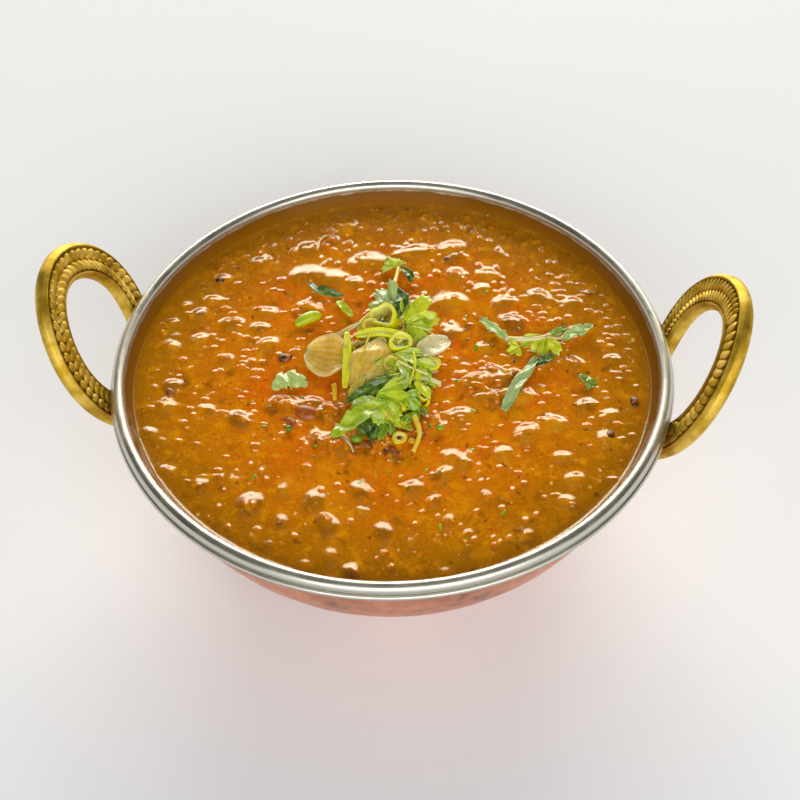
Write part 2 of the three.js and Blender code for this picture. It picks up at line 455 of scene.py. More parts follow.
def handlePoint(angle):
    rise = math.sin(angle)
    up = handle["reach"] * rise - handle["low"]
    swell = 1 + 0.62 * rise - 0.35 * rise ** 2
    out = handle["rootOut"] + handle["leanOut"] * up + handle["curlOut"] * up * abs(up)
    return Vector((out, handle["spread"] * math.cos(angle) * swell, karahi["rollHeight"] + up))


def handleFrame(angle):  # the limb's point, direction, side and face
    along = (handlePoint(angle + 0.01) - handlePoint(angle - 0.01)).normalized()
    side = -Vector(handle["facing"]).cross(along).normalized()
    return handlePoint(angle), along, side, side.cross(along)


def handleSection(width, depth):  # closed outline: patterned face, rounded edges, rounded back
    outline = []
    half = width / 2
    channel = handle["channel"] * half / (handle["band"] / 2)
    rise = depth / 2
    for k in range(25):  # across the face, from one edge to the other
        a = half * 0.93 * math.cos(math.pi * k / 24)
        edge = abs(a) - channel
        bead = 0.42 * mm * math.exp(-((edge - 0.35 * mm) / (0.28 * mm)) ** 2)
        floor = handle["sunk"] * (1 / (1 + math.exp(edge / (0.10 * mm))))
        fall = 0.55 * mm * max(0, (abs(a) / half - 0.72) / 0.21) ** 2
        outline.append((a, rise - floor + bead - fall - 0.15 * mm, floor / handle["sunk"]))
    for k in range(1, 20):  # round the back
        t = math.pi + math.pi * k / 20
        a = half * math.copysign(abs(math.cos(t)) ** 0.7, math.cos(t))
        outline.append((a, rise * (0.35 + 1.35 * -abs(math.sin(t)) ** 0.8), 0))
    return outline


def brassMaterial(look):
    material, shader, where = newMaterial("agedBrass")
    fine = noiseAt(where, 0.7 * mm, 4, 0.6)
    base = ramp(noiseAt(where, 7 * mm, 4, 0.6), (0.30, look["dirt"]), (0.45, look["aged"]),
                (0.62, look["bright"]))
    dirt = floatMath("MINIMUM", times(readMark(shader, "pit"), plus(0.55, fine)), 1.0)
    plug(shader, {
        "Base Color": mixColour(dirt, base, look["pit"]),
        "Metallic": 1.0,
        "Roughness": roughness(plus(fine, dirt), look, 0.1, 0.4, 0.0, 2.0),
        "Normal": bump(fine, 0.4, 0.15 * mm),
    })
    return material


def turned(a, b, angle):  # the vector a, swung towards b
    return vectorMath("ADD", vectorMath("SCALE", a, floatMath("COSINE", angle)),
                      vectorMath("SCALE", b, floatMath("SINE", angle)))


def grainTree(material):  # two rows of slanting grains along the limb, like an ear of wheat
    tree, given = newGeometryTree("wheatEar", {
        "Pitch": 2 * mm, "Grain length": 3 * mm, "Grain width": 1.6 * mm, "Grain height": 1 * mm,
        "Row offset": 1.4 * mm, "Slant": 0.7, "Lift": 0.2, "Two rows": True})
    curve = geo(tree, "MeshToCurve", {"Mesh": given["Geometry"]})
    spaced = geo(tree, "ResampleCurve", {"Curve": curve, "Length": given["Pitch"]}, mode="LENGTH")
    along = geo(tree, "InputTangent")
    face = geo(tree, "InputNamedAttribute", {"Name": "face"}, data_type="FLOAT_VECTOR")
    side = vectorMath("CROSS_PRODUCT", along, face)
    ball = geo(tree, "MeshUVSphere", {"Segments": 10, "Rings": 6, "Radius": 0.5})
    size = xyz(given["Grain length"], given["Grain width"], given["Grain height"])
    grain = geo(tree, "Transform", {"Geometry": ball, "Scale": size})
    # the low rim of each grain is dark with old polish
    dark = between(heightOf(geo(tree, "InputPosition")), 0.32 * mm, 0.05 * mm)
    grain = geo(tree, "SetShadeSmooth", {"Geometry": stored(grain, "pit", dark)})
    both = node(tree, "GeometryNodeJoinGeometry")
    for hand, wanted in ((-1, True), (1, given["Two rows"])):
        pointing = turned(along, side, times(given["Slant"], hand))
        upright = turned(face, pointing, times(given["Lift"], -1.0))
        rotation = node(tree, "FunctionNodeAxesToRotation", {0: upright, 1: pointing},
                        primary_axis="Z", secondary_axis="X").outputs[0]
        shift = vectorMath("SCALE", side, times(given["Row offset"], hand))
        row = geo(tree, "SetPosition", {"Geometry": spaced, "Offset": shift})
        grains = geo(tree, "InstanceOnPoints", {
            "Points": row, "Selection": wanted, "Instance": grain, "Rotation": rotation})
        tree.links.new(grains, both.inputs[0])
    return endTree(both.outputs[0], material)


def makeHandles():
    material = brassMaterial(brassLook)
    tree = grainTree(material)
    ends = math.radians(handle["ends"])
    steps = 230
    points, pits, rows = [], [], []
    for i in range(steps + 1):
        angle = -ends + (math.pi + 2 * ends) * i / steps
        spot, along, side, face = handleFrame(angle)
        fromEnd = min(i, steps - i) / steps * 34 + 0.02  # 1 where the rounded end is over
        scale = math.sqrt(1 - (1 - min(1, fromEnd)) ** 2)
        width = handle["band"] * (0.92 + 0.08 * math.sin(angle)) * scale
        section = handleSection(width, handle["depth"] * scale)
        rows.append(range(len(points), len(points) + len(section)))
        points += [spot + side * a + face * b for a, b, pit in section]
        pits += [pit for a, b, pit in section]
    faces = bands(rows) + [tuple(rows[0]), tuple(rows[-1])[::-1]]
    floor = handle["depth"] / 2 - handle["sunk"] - 0.1 * mm  # of the channel, over the limb's middle
    for name, turn in (("Right", 0), ("Left", math.pi)):
        spun = Matrix.Rotation(turn, 3, "Z")
        body = meshPiece("handle" + name, [spun @ p for p in points], faces)
        writeMark(body, "pit", pits)
        body.data.materials.append(material)
        grains = []
        for kind, start, stop in handleRuns[name]:
            pitch, length, width, height, offset, slant, lift = grainRows[kind]
            line, faced, count = [], [], 90
            for angle in np.radians(np.linspace(start, stop, count + 1)):
                spot, along, side, face = handleFrame(angle)
                line.append(spun @ (spot + face * floor))
                faced += tuple(spun @ face)
            run = meshPiece("handleGrains" + name, line, [])
            run.data.edges.add(count)
            run.data.edges.foreach_set("vertices", [v for i in range(count) for v in (i, i + 1)])
            writeMark(run, "face", faced, "FLOAT_VECTOR")
            grains.append(runTree(run, tree, {
                "Pitch": pitch * mm, "Grain length": length * mm, "Grain width": width * mm,
                "Grain height": height * mm, "Row offset": offset * mm, "Slant": math.radians(slant),
                "Lift": math.radians(lift), "Two rows": offset > 0}))
        settle(body, "brass", "handle_" + name.lower())
        if len(grains) > 1:
            with bpy.context.temp_override(active_object=grains[0], selected_editable_objects=grains):
                bpy.ops.object.join()
        settle(grains[0], "brass")


makeHandles()
print("handles done")

dal = {
    "cells": 290,  # the surface's grid, cells to a side
    "lentilSpacing": 4.4 * mm,
    "lentilLength": 4.4 * mm,
    "lentilSpread": 0.3,
    "lentilLowest": -1.5 * mm,  # how far their tops stand out of the gravy
    "lentilHighest": 0.6 * mm,
    "lentilFilm": 8,  # how far the gravy rounds off what it covers, in grid steps
    "lentilSeed": 11,
    "bitSpacing": 1.6 * mm,
    "bitLength": 1.5 * mm,
    "bitSpread": 0.5,
    "bitLowest": -0.7 * mm,
    "bitHighest": 0.8 * mm,
    "bitFilm": 1,
    "bitSeed": 5,
    "ripple": 0.22 * mm,
    "brim": 1.4 * mm,  # how far it runs into the liner's flare
    "clear": 2.2 * mm,  # between the brim and the nearest lentil
    "turnSeed": 8,
    "gritSeed": 21,
}
# Soft tomato and onion that cooked down to grit: x, y, half width, half depth in mm, how many grains
grit = [
    (-14.5, -27, 6.5, 4.5, 34), (27, -4, 10, 5, 46), (-27, -14.5, 5, 4, 16), (-14, -15, 5, 4, 16),
    (2, -25, 8, 4, 22), (13, -18, 5, 4, 14), (-22, 48, 7, 4, 14), (-40, -2, 5, 4, 10),
]
# Lumps that show clearly: x, y, length in mm
lumps = [
    (-42, 40, 6), (-29, 46, 9), (-23, 50, 9), (-19, 57, 9), (-14, 33, 7), (-52, 32, 5), (-53, 23, 6),
    (-56, 17, 7), (-63, 13, 5), (-46, 14, 9), (-37, 19, 8), (-38, 13, 7), (-54, 7, 7), (-61, 4, 7),
    (-35, 7, 8), (-45, 0, 6), (-58, -10, 7), (-58, -18, 8), (-47, -18, 6), (-38, -21, 10), (-25, 22, 9),
    (14, 46, 7), (15, 38, 9), (24, 39, 9), (23, 33, 8), (29, 28, 10), (39, 31, 9), (48, 29, 8),
    (32, 20, 11), (15, 15, 9), (25, 10, 7), (59, 8, 6), (49, 6, 7), (52, -9, 7), (58, -12, 6),
    (-31, -48, 11), (-61, -27, 6), (-54, -39, 6), (-44, -43, 6), (-36, -41, 5), (-23, -43, 6),
    (-15, -46, 10), (-11, -53, 10), (-22, -53, 6), (-4, -42, 9), (3, -54, 8), (-4, -66, 7), (-9, -62, 6),
    (19, -15, 9), (31, -27, 7), (37, -20, 11), (44, -16, 9), (57, -20, 7), (18, -29, 7), (21, -31, 8),
    (17, -35, 9), (9, -40, 8), (46, -27, 6), (49, -34, 7), (47, -41, 6), (38, -52, 5), (24, -57, 5),
    (-26, -15.5, 8), (-15.5, -17.5, 8), (-20, -13.4, 7), (-14, -27, 10), (-17.5, -25.4, 6),
    (-11, -28.6, 6), (22, -4, 9), (28, 0, 10), (33, 0, 8), (27, -8, 9), (33, -7, 7), (13, -19, 8),
    (10, -17, 5), (-3, -48, 5), (-15, -66, 6), (-28.5, -58, 4.5), (-24.5, -60, 4.5), (15, -43, 4.5),
    (18.5, -49.5, 5.5), (27, -40.8, 5), (23.4, -53, 4.5), (19, -65.6, 7), (9.7, -56.6, 3.5),
]
# Broad low swells: x, y, length, width in mm, turn in degrees, rise in mm
swells = [
    (-27, 35, 14, 9, 4, 1.0), (-20, 34, 9, 8, -20, 1.0), (-11, 42, 13, 8, 10, 1.0), (2, 47, 14, 7, 16, 0.9),
    (13, 50, 10, 6, 20, 0.8), (5, 25, 10, 8, 0, 1.1), (14, 27, 12, 8, 12, 1.0), (-2, 0, 30, 38, 0, 1.0),
    (-27, -14.6, 9, 7, -8, 1.5), (-15, -16.4, 9, 6.5, 6, 1.5), (-14, -27, 12, 8, 0, 1.2),
    (22.5, -2.6, 11, 6, 30, 1.5), (29.5, -1.5, 10, 7, 10, 1.7), (34, -6.6, 11, 7, -10, 1.4),
    (26, -8, 10, 6, 10, 1.2),
]


def discGrid(cells, radius, height):  # a square grid eased onto a disc, with even cells
    side = np.linspace(-1, 1, cells + 1)
    u, v = np.meshgrid(side, side, indexing="ij")
    wide = np.abs(u) > np.abs(v)
    big, small = np.where(wide, u, v), np.where(wide, v, u)
    turn = math.pi / 4 * small / np.where(big == 0, 1, big)
    x = big * np.where(wide, np.cos(turn), np.sin(turn)) * radius
    y = big * np.where(wide, np.sin(turn), np.cos(turn)) * radius
    points = np.stack([x.ravel(), y.ravel(), np.full(x.size, height)], 1)
    index = np.arange((cells + 1) ** 2).reshape(cells + 1, cells + 1)
    quads = np.stack([index[:-1, :-1], index[1:, :-1], index[1:, 1:], index[:-1, 1:]], -1).reshape(-1, 4)
    ring = np.concatenate([index[:-1, 0], index[-1, :-1], index[:0:-1, -1], index[0, :0:-1]])
    return points, quads.tolist(), ring.tolist()


def bedTree():  # seeds lying at random depths, plus one at each given point
    tree, given = newGeometryTree("lentilBed", {
        "Spacing": 6 * mm, "Length": 5 * mm, "Shape": (1.0, 0.76, 0.62), "Spread": 0.3,
        "Lowest": -0.5 * mm, "Highest": 1 * mm, "Seed": 1, "Radius": 66 * mm, "Level": 50 * mm})
    seed = given["Seed"]
    ball = geo(tree, "MeshUVSphere", {"Segments": 18, "Rings": 12, "Radius": 0.5})
    disc = geo(tree, "MeshCircle", {"Vertices": 64, "Radius": given["Radius"]}, fill_type="NGON")
    raised = geo(tree, "Transform", {"Geometry": disc, "Translation": xyz(z=given["Level"])})
    everything = node(tree, "GeometryNodeJoinGeometry")

    def sow(points, size, turn, rise):
        drop = minus(rise, times(heightOf(size), 0.5))
        placed = geo(tree, "SetPosition", {"Geometry": points, "Offset": xyz(z=drop)})
        seeds = geo(tree, "InstanceOnPoints", {
            "Points": placed, "Instance": ball, "Rotation": turn, "Scale": size})
        tone = anyFrom(tree, 0.0, 1.0, plus(seed, 5))
        tree.links.new(stored(seeds, "tone", tone, "INSTANCE"), everything.inputs[0])

    scatter = geo(tree, "DistributePointsOnFaces", {
        "Mesh": raised, "Distance Min": given["Spacing"], "Density Max": 200000.0, "Seed": seed},
        distribute_method="POISSON")
    size = anyFrom(tree, minus(1.0, given["Spread"]), plus(1.0, given["Spread"]), seed)
    rise = anyFrom(tree, given["Lowest"], given["Highest"], plus(seed, 7))
    turn = anyFrom(tree, (-0.25, -0.25, -3.1), (0.25, 0.25, 3.1), plus(seed, 3))
    sow(scatter, vectorMath("SCALE", given["Shape"], times(size, given["Length"])), turn, rise)
    own = {key: geo(tree, "InputNamedAttribute", {"Name": key}, data_type=kind)
           for key, kind in (("size", "FLOAT_VECTOR"), ("turn", "FLOAT"), ("rise", "FLOAT"))}
    ownPoints = geo(tree, "MeshToPoints", {"Mesh": given["Geometry"]})
    sow(ownPoints, own["size"], xyz(z=own["turn"]), own["rise"])
    return endTree(everything.outputs[0], None)


def drape(here, bed, level, blur):  # how far the gravy stands up over a bed
    tree = here.id_data
    hit = node(tree, "GeometryNodeRaycast", {
        "Target Geometry": inObject(tree, bed),
        "Attribute": geo(tree, "InputNamedAttribute", {"Name": "tone"}),
        "Source Position": vectorMath("ADD", here, (0, 0, 20 * mm)), "Ray Direction": (0, 0, -1),
        "Ray Length": 40 * mm}, mapping="NEAREST").outputs
    cover = floatMath("MAXIMUM", minus(heightOf(hit["Hit Position"]), level), 0.0)
    smooth = geo(tree, "BlurAttribute", {"Value": times(cover, hit["Is Hit"]), "Iterations": blur})
    return smooth, hit["Attribute"]


def gravyTree(material):  # lays the gravy over the beds and rounds it off
    tree, given = newGeometryTree("gravy", {
        "Lentils": None, "Bits": None, "Level": 50 * mm, "Lentil film": 8, "Bit film": 3,
        "Ripple": 0.25 * mm, "Ripple size": 14 * mm, "Crinkle": 0.14 * mm, "Grain": 0.13 * mm,
        "Grain size": 1.5 * mm, "Radius": 68 * mm, "Climb": 0.9 * mm})
    here = geo(tree, "InputPosition")
    lentils, tone = drape(here, given["Lentils"], given["Level"], given["Lentil film"])
    bits = drape(here, given["Bits"], given["Level"], given["Bit film"])[0]

    def waves(amount, size, finer, detail):
        noise = node(tree, "ShaderNodeTexNoise", {
            "Vector": here, "Detail": detail, "Scale": floatMath("DIVIDE", finer, given[size])})
        return swing(noise.outputs[0], given[amount])

    ripple = plus(waves("Ripple", "Ripple size", 1.0, 1.5), waves("Crinkle", "Ripple size", 3.0, 2.0))
    bumps = plus(plus(lentils, bits), plus(ripple, waves("Grain", "Grain size", 1.0, 2.0)))
    # calm close to the wall, where it climbs
    fromWall = minus(given["Radius"], fromAxis(here))
    calm = between(fromWall, 0.6 * mm, 4 * mm)
    climb = times(given["Climb"], floatMath("POWER", 2.718, floatMath("DIVIDE", fromWall, -1.0 * mm)))
    surface = geo(tree, "SetPosition", {
        "Geometry": given["Geometry"], "Offset": xyz(z=plus(times(bumps, calm), climb))})
    for name, value in (("lump", floatMath("DIVIDE", lentils, 1 * mm)), ("tone", tone),
                        ("grit", floatMath("DIVIDE", bits, 1 * mm))):
        surface = stored(surface, name, value)
    return endTree(surface, material)


dalLook = {
    "gravy": srgb(218, 131, 3),
    "warm": srgb(222, 109, 2),
    "olive": srgb(176, 114, 2),
    "yellow": srgb(228, 150, 8),
    "under": srgb(150, 90, 2),
    "lumpDark": srgb(126, 76, 6),
    "lumpPale": srgb(220, 148, 16),
    # painted shade close to the wall
    "edge": srgb(146, 92, 3),
    "speck": srgb(206, 84, 4),
    "skin": srgb(116, 66, 4),
    # painted highlights: pale cream specks standing in for tiny glints
    "paintedSparkle": srgb(250, 208, 120),
    "grit": srgb(228, 124, 8),
    "sunkSize": 4.4 * mm,
    "sunkShare": 0.4,
    "speckSize": 1.5 * mm,
    "speckShare": 0.07,
    "skinShare": 0.09,
    "paintedSparkleSize": 1.2 * mm,
    "paintedSparkleShare": 0.06,
    "roughness": 0.09,
}


def specks(where, size, share, seed, colour, under):  # small flecks in a share of even cells
    drift = vectorMath("SUBTRACT", noiseAt(where, size, 2, 0.5, "Color"), (0.5, 0.5, 0.5))
    where = vectorMath("ADD", where, vectorMath("SCALE", drift, size * 1.6))
    cells = node(where.id_data, "ShaderNodeTexVoronoi", {"Vector": where, "Scale": 1 / size, "W": seed},
                 voronoi_dimensions="4D").outputs
    pick = node(where.id_data, "ShaderNodeSeparateColor", {0: cells["Color"]}).outputs[0]
    mask = times(between(pick, share, share * 0.9), between(cells["Distance"], 0.5, 0.1))
    return mixColour(mask, under, colour)


def dalMaterial(look):
    material, shader, where = newMaterial("dalGravy")
    radius = fromAxis(where)
    cloud = noiseAt(where, 17 * mm, 4, 0.6)
    patch = noiseAt(vectorMath("ADD", where, (0.1, 0.2, 0)), 4.5 * mm, 4, 0.6)
    fine = noiseAt(where, 0.7 * mm, 4, 0.65)
    colour = mixColour(between(cloud, 0.38, 0.62), look["gravy"], look["warm"])
    lumpColour = mixColour(readMark(shader, "tone"), look["lumpDark"], look["lumpPale"])
    for share, paint in (
            (between(plus(radius, times(cloud, 30 * mm)), 52 * mm, 82 * mm), look["olive"]),
            (between(patch, 0.52, 0.68, 0.7), look["yellow"]),
            (between(patch, 0.46, 0.30, 0.6), look["olive"]),
            (between(readMark(shader, "lump"), 0.08, 0.7, 0.75), lumpColour),
            (between(readMark(shader, "grit"), 0.05, 0.45, 0.7), look["grit"])):
        colour = mixColour(share, colour, paint)
    colour = specks(where, look["sunkSize"], look["sunkShare"], 7.0, look["under"], colour)
    colour = specks(where, look["sunkSize"] * 0.7, look["sunkShare"] * 0.6, 9.0, look["yellow"], colour)
    # painted shade: darker close to the wall, standing in for the wall's shadow and reflection
    wallShadeRadius = floatMath("MULTIPLY_ADD", patch, 4 * mm, minus(radius, 2 * mm))
    colour = mixColour(between(wallShadeRadius, 64 * mm, 70.5 * mm, 0.65), colour, look["edge"])
    colour = specks(where, look["speckSize"], look["speckShare"], 1.0, look["speck"], colour)
    colour = specks(where, look["speckSize"] * 1.3, look["skinShare"], 4.0, look["skin"], colour)
    # painted highlights: pale cream specks standing in for tiny glints
    colour = specks(where, look["paintedSparkleSize"], look["paintedSparkleShare"], 12.0, look["paintedSparkle"], colour)
    mottle = between(fine, 0.2, 0.8, 1.28, 0.72)
    plug(shader, {
        "Base Color": node(shader.id_data, "ShaderNodeHueSaturation", {
            "Color": colour, "Value": mottle}).outputs[0],
        "Roughness": roughness(fine, look, 0.05, 0.1, 0.3, 0.7),
        "Normal": bump(fine, 0.28, 0.1 * mm),
        "Specular Tint": (1, 0.95, 0.78, 1),  # butter on top
        "Subsurface Weight": 0.3,
        "Subsurface Radius": (1.0, 0.45, 0.12),
        "Subsurface Scale": 1.0 * mm,
    })
    return material


def makeBed(name, tree, radius, own):  # lentils or bits: scattered ones, and listed ones
    bed = meshPiece(name + "Bed", [(x * mm, y * mm, dalLevel) for size, x, y, turn, rise in own], [])
    writeMark(bed, "size", [c * mm for size, *rest in own for c in size], "FLOAT_VECTOR")
    writeMark(bed, "turn", [row[3] for row in own])
    writeMark(bed, "rise", [row[4] * mm for row in own])
    settings = {key: dal[name + key] for key in ("Spacing", "Length", "Spread", "Lowest", "Highest", "Seed")}
    return runTree(bed, tree, {**settings, "Radius": radius, "Level": dalLevel})


def makeDal():
    profile = bowlProfile(karahi["dalInset"], dalLevel, 8)
    brim = profile[-1][0] + dal["brim"]
    points, quads, ring = discGrid(dal["cells"], brim, dalLevel)
    # each one's size, place, turn and rise in mm
    rng = random.Random(dal["turnSeed"])
    known = [((length, 0.76 * length, 0.62 * length), x, y, rng.uniform(-3, 3), 0.09 * length + 0.4)
             for x, y, length in lumps]
    known += [((length, width, 3 * rise), x, y, math.radians(turn), rise)
              for x, y, length, width, turn, rise in swells]
    rng = random.Random(dal["gritSeed"])
    grains = []
    for x, y, wide, deep, count in grit:
        for k in range(count):
            size = rng.uniform(1.3, 2.6)
            grains.append(((size, 0.8 * size, 0.8 * size), rng.gauss(x, wide / 2), rng.gauss(y, deep / 2),
                           rng.uniform(-3, 3), rng.uniform(0.3, 0.95)))
    tree = bedTree()
    lentils = makeBed("lentil", tree, brim - dal["clear"], known)
    bits = makeBed("bit", tree, brim - dal["clear"], grains)
    surface = meshPiece("dalSurface", points, quads)
    runTree(surface, gravyTree(dalMaterial(dalLook)), {
        "Lentils": lentils, "Bits": bits, "Level": dalLevel, "Lentil film": dal["lentilFilm"],
        "Bit film": dal["bitFilm"], "Ripple": dal["ripple"], "Radius": brim})
    # the body under the surface follows the liner
    mesh = surface.data
    top = [tuple(v.co) for v in mesh.vertices]
    rows = [ring]
    for radius, height in [profile[-1]] + profile[-2:0:-4]:
        rows.append(range(len(top), len(top) + len(ring)))
        for i in ring:
            x, y = top[i][:2]
            share = radius / math.hypot(x, y)
            top.append((x * share, y * share, height))
    faces = [tuple(p.vertices) for p in mesh.polygons] + bands(rows) + [tuple(rows[-1])]
    body = meshPiece("dalBody", top, faces)
    for name in ("lump", "tone", "grit"):
        values = np.zeros(len(top))
        mesh.attributes[name].data.foreach_get("value", values[:len(mesh.vertices)])
        writeMark(body, name, values)
    brimEdge = set(ring)
    for edge in body.data.edges:
        edge.use_edge_sharp = brimEdge.issuperset(edge.vertices)
    body.data.materials.append(mesh.materials[0])
    for spare in (lentils, bits, surface):
        bpy.data.objects.remove(spare)
    return settle(body, "dal", "dal")


dalSurface = makeDal()
print("dal done")


# Thin leaves, slices and stems are gathered in batches: one batch becomes one piece

def newBatch(place):  # place: what turns an x, y and height in mm into a point
    return {"place": place, "points": [], "faces": [], "hue": [], "under": [], "vein": []}


def addPart(batch, points, faces, hue, under, vein):
    start = len(batch["points"])
    batch["points"] += [tuple(p) for p in points]
    batch["faces"] += [tuple(start + v for v in face) for face in faces]
    for key, value in (("hue", hue), ("under", under), ("vein", vein)):
        batch[key] += list(np.broadcast_to(value, (len(points),)))


def batchPiece(name, batch, material, slot, *nodes):
    piece = meshPiece(name, batch["points"], batch["faces"])
    for key in ("hue", "under", "vein"):
        writeMark(piece, key, batch[key])
    piece.data.materials.append(material)
    return settle(piece, slot, *nodes)


def onDal(x, y, height):  # over the gravy's surface
    hit, spot, normal, index = dalSurface.ray_cast((x * mm, y * mm, 0.1), (0, 0, -1))
    return np.array([x * mm, y * mm, (spot.z if hit else dalLevel) + height * mm])


def overDal(x, y, height):  # over the gravy's level
    return np.array([x * mm, y * mm, dalLevel + height * mm])


def smoothLine(batch, points, count):  # a curve through all the points
    points = np.array([batch["place"](*p) for p in points])
    ends = np.vstack([2 * points[0] - points[1], points, 2 * points[-1] - points[-2]])
    line = []
    for t in np.linspace(0, len(points) - 1.000001, count):
        i = int(t)
        f = t - i
        a, b, c, d = ends[i:i + 4]
        line.append(0.5 * (2 * b + (c - a) * f + (2 * a - 5 * b + 4 * c - d) * f ** 2
                           + (3 * b - a - 3 * c + d) * f ** 3))
    return np.array(line)


def unit(vectors):
    return vectors / np.linalg.norm(vectors, axis=-1, keepdims=True)


def addSheet(batch, grid, thickness, hue, vein):  # closes a grid of points into a thin solid
    rows, columns = grid.shape[:2]
    normals = np.cross(np.gradient(grid, axis=0), np.gradient(grid, axis=1))
    normals /= np.linalg.norm(normals, axis=2, keepdims=True) + 1e-15
    points = np.vstack([(grid + normals * side * thickness / 2).reshape(-1, 3) for side in (1, -1)])
    under = rows * columns
    at = np.arange(under).reshape(rows, columns)
    faces = []
    for i in range(rows - 1):
        for j in range(columns - 1):
            quad = (at[i, j], at[i + 1, j], at[i + 1, j + 1], at[i, j + 1])
            faces += [quad, tuple(under + v for v in quad[::-1])]
    edge = [*at[:, 0], *at[-1, 1:], *at[-2::-1, -1], *at[0, -2:0:-1]]
    faces += [(a, under + a, under + b, b) for a, b in zip(edge, edge[1:] + edge[:1])]
    hues = np.tile(np.broadcast_to(hue, (rows, columns)).ravel(), 2)
    addPart(batch, points, faces, hues, np.repeat([0.0, 1.0], under), np.tile(vein.ravel(), 2))


# hue: 0 dark to 1 pale; fold, cup and wave: how it bends across; teeth and depth: its jagged edge
def addBlade(batch, line, width, hue, thickness=0.28, fold=0.25, teeth=6, depth=0.2, lean=0.0,
             cup=0.0, blunt=0.7, wave=0.2, ribs=0, veined=1, seed=1, flip=False):
    rng = np.random.default_rng(seed)
    rows, columns = (48, 15) if width > 3.5 else (26, 9)
    columns = max(columns, 4 * ribs + 1)
    spine = smoothLine(batch, line, rows)
    along = unit(np.gradient(spine, axis=0))
    side = unit(np.cross([math.sin(lean), -0.35, math.cos(lean)], along))
    normal = np.cross(along, side)
    t = np.linspace(0, 1, rows)[:, None]
    s = np.linspace(-1, 1, columns)[None, :]
    outline = (np.sin(math.pi * (0.01 + 0.98 * t)) ** blunt) * width * mm / 2
    phase = rng.uniform(0, 1, 2)
    jag = (t * teeth + np.where(s > 0, phase[0], phase[1])) % 1
    outline = outline * (1 - depth * jag * np.abs(s) ** 2)
    drift = rng.uniform(0, 6, 3)
    lift = (fold * np.abs(s) + cup * s ** 2) * outline
    lift = lift + wave * outline * (s * np.sin(5 * t + drift[0]) + np.sin(9 * t + drift[1]) * s ** 2
                                    + 0.8 * np.sin(16 * t + 2 * s + drift[2]))
    lift = lift + 0.07 * mm * np.cos(ribs * math.pi * s) * (ribs > 0)
    grid = (spine[:, None, :] + side[:, None, :] * (s * outline)[:, :, None]
            + normal[:, None, :] * lift[:, :, None])
    vein = np.exp(-(s / 0.1) ** 2) + 0.7 * (np.abs(((t * teeth * 1.5 - np.abs(s) * 0.8) % 1) - 0.5) < 0.09)
    if ribs:
        vein = 0.3 + 0.3 * np.cos(ribs * math.pi * s) + np.abs(s) ** 8 + np.abs(2 * t - 1) ** 10
    vein = np.clip(veined * vein * np.ones_like(t), 0, 1)
    if flip:  # the pale underside shows
        grid, vein = grid[:, ::-1], vein[:, ::-1]
    addSheet(batch, grid, thickness * mm, hue, vein)


# a lobed leaf: spread is half its angle in degrees, depth how deep it is cut between the lobes
def addFan(batch, base, tip, hue, spread=105, lobes=5, depth=0.5, facing=(0, -0.45, 1), cup=0.2,
           pleat=0.16, seed=1):
    rng = np.random.default_rng(seed)
    base, tip = (batch["place"](*p) for p in (base, tip))
    reach = np.linalg.norm(tip - base)
    rows, columns = (26 * lobes, 11) if reach > 7 * mm else (16 * lobes, 8)
    forward = (tip - base) / reach
    side = unit(np.cross(facing, forward))
    normal = np.cross(forward, side)
    half = math.radians(spread)
    turn = np.radians(np.linspace(-spread, spread, rows))[:, None]
    gap = 2 * half / lobes
    place = (turn + half) / gap
    index = np.clip(place.astype(int), 0, lobes - 1)
    u = np.abs(place - index - 0.5)  # 0 on a lobe's axis, 0.5 between lobes
    lengths = reach * rng.uniform(0.85, 1.08, lobes)
    axis = (np.arange(lobes) + 0.5) * gap - half
    lengths = lengths * (1 - 0.30 * (axis / half) ** 2)
    outline = lengths[index] * (1 - depth + depth * np.sqrt(1 - 0.97 * (2 * u) ** 2))
    outline = outline * (1 + 0.05 * np.cos(8 * math.pi * u))
    r = outline * np.linspace(0.03, 1, columns)[None, :]
    rho = r / reach
    drift = rng.uniform(0, 6, 3)
    height = reach * (pleat * rho * (2 * u) ** 1.3 - cup * rho ** 2
                      + 0.13 * rho * np.sin(3.1 * turn + drift[0])
                      + 0.07 * rho ** 2 * np.sin(7 * turn + drift[1])
                      + 0.05 * rho * np.sin(9 * rho + drift[2]))
    grid = (base + forward * (r * np.cos(turn))[:, :, None] + side * (r * np.sin(turn))[:, :, None]
            + normal * height[:, :, None])
    veins = np.exp(-(u / 0.06) ** 2) + 0.6 * (np.abs(((rho * 7 - u * 4) % 1) - 0.5) < 0.1)
    addSheet(batch, grid[::-1], 0.26 * mm, hue, np.clip(veins, 0, 1)[::-1])


def addStem(batch, line, radius, hue, flat=0.85, taper=0.25, rounded=False):
    sides, count = 9, 26
    spine = smoothLine(batch, line, count)
    along = unit(np.gradient(spine, axis=0))
    side = unit(np.cross([0.05, -0.2, 1.0], along))
    normal = np.cross(along, side)
    t = np.linspace(0, 1, count)
    size = radius * mm * (1 - taper * t)
    if rounded:
        size = size * np.sqrt(1 - np.abs(1.98 * t - 0.99) ** 3)
    a = 2 * math.pi * np.arange(sides)[:, None] / sides
    points = np.vstack([spine[k] + size[k] * (side[k] * np.cos(a) + normal[k] * np.sin(a) * flat)
                        for k in range(count)])
    rows = [range(k * sides, (k + 1) * sides) for k in range(count)]
    faces = bands(rows, outward=False) + [tuple(rows[0])[::-1], tuple(rows[-1])]
    addPart(batch, points, faces, hue, 0.0, 0.0)


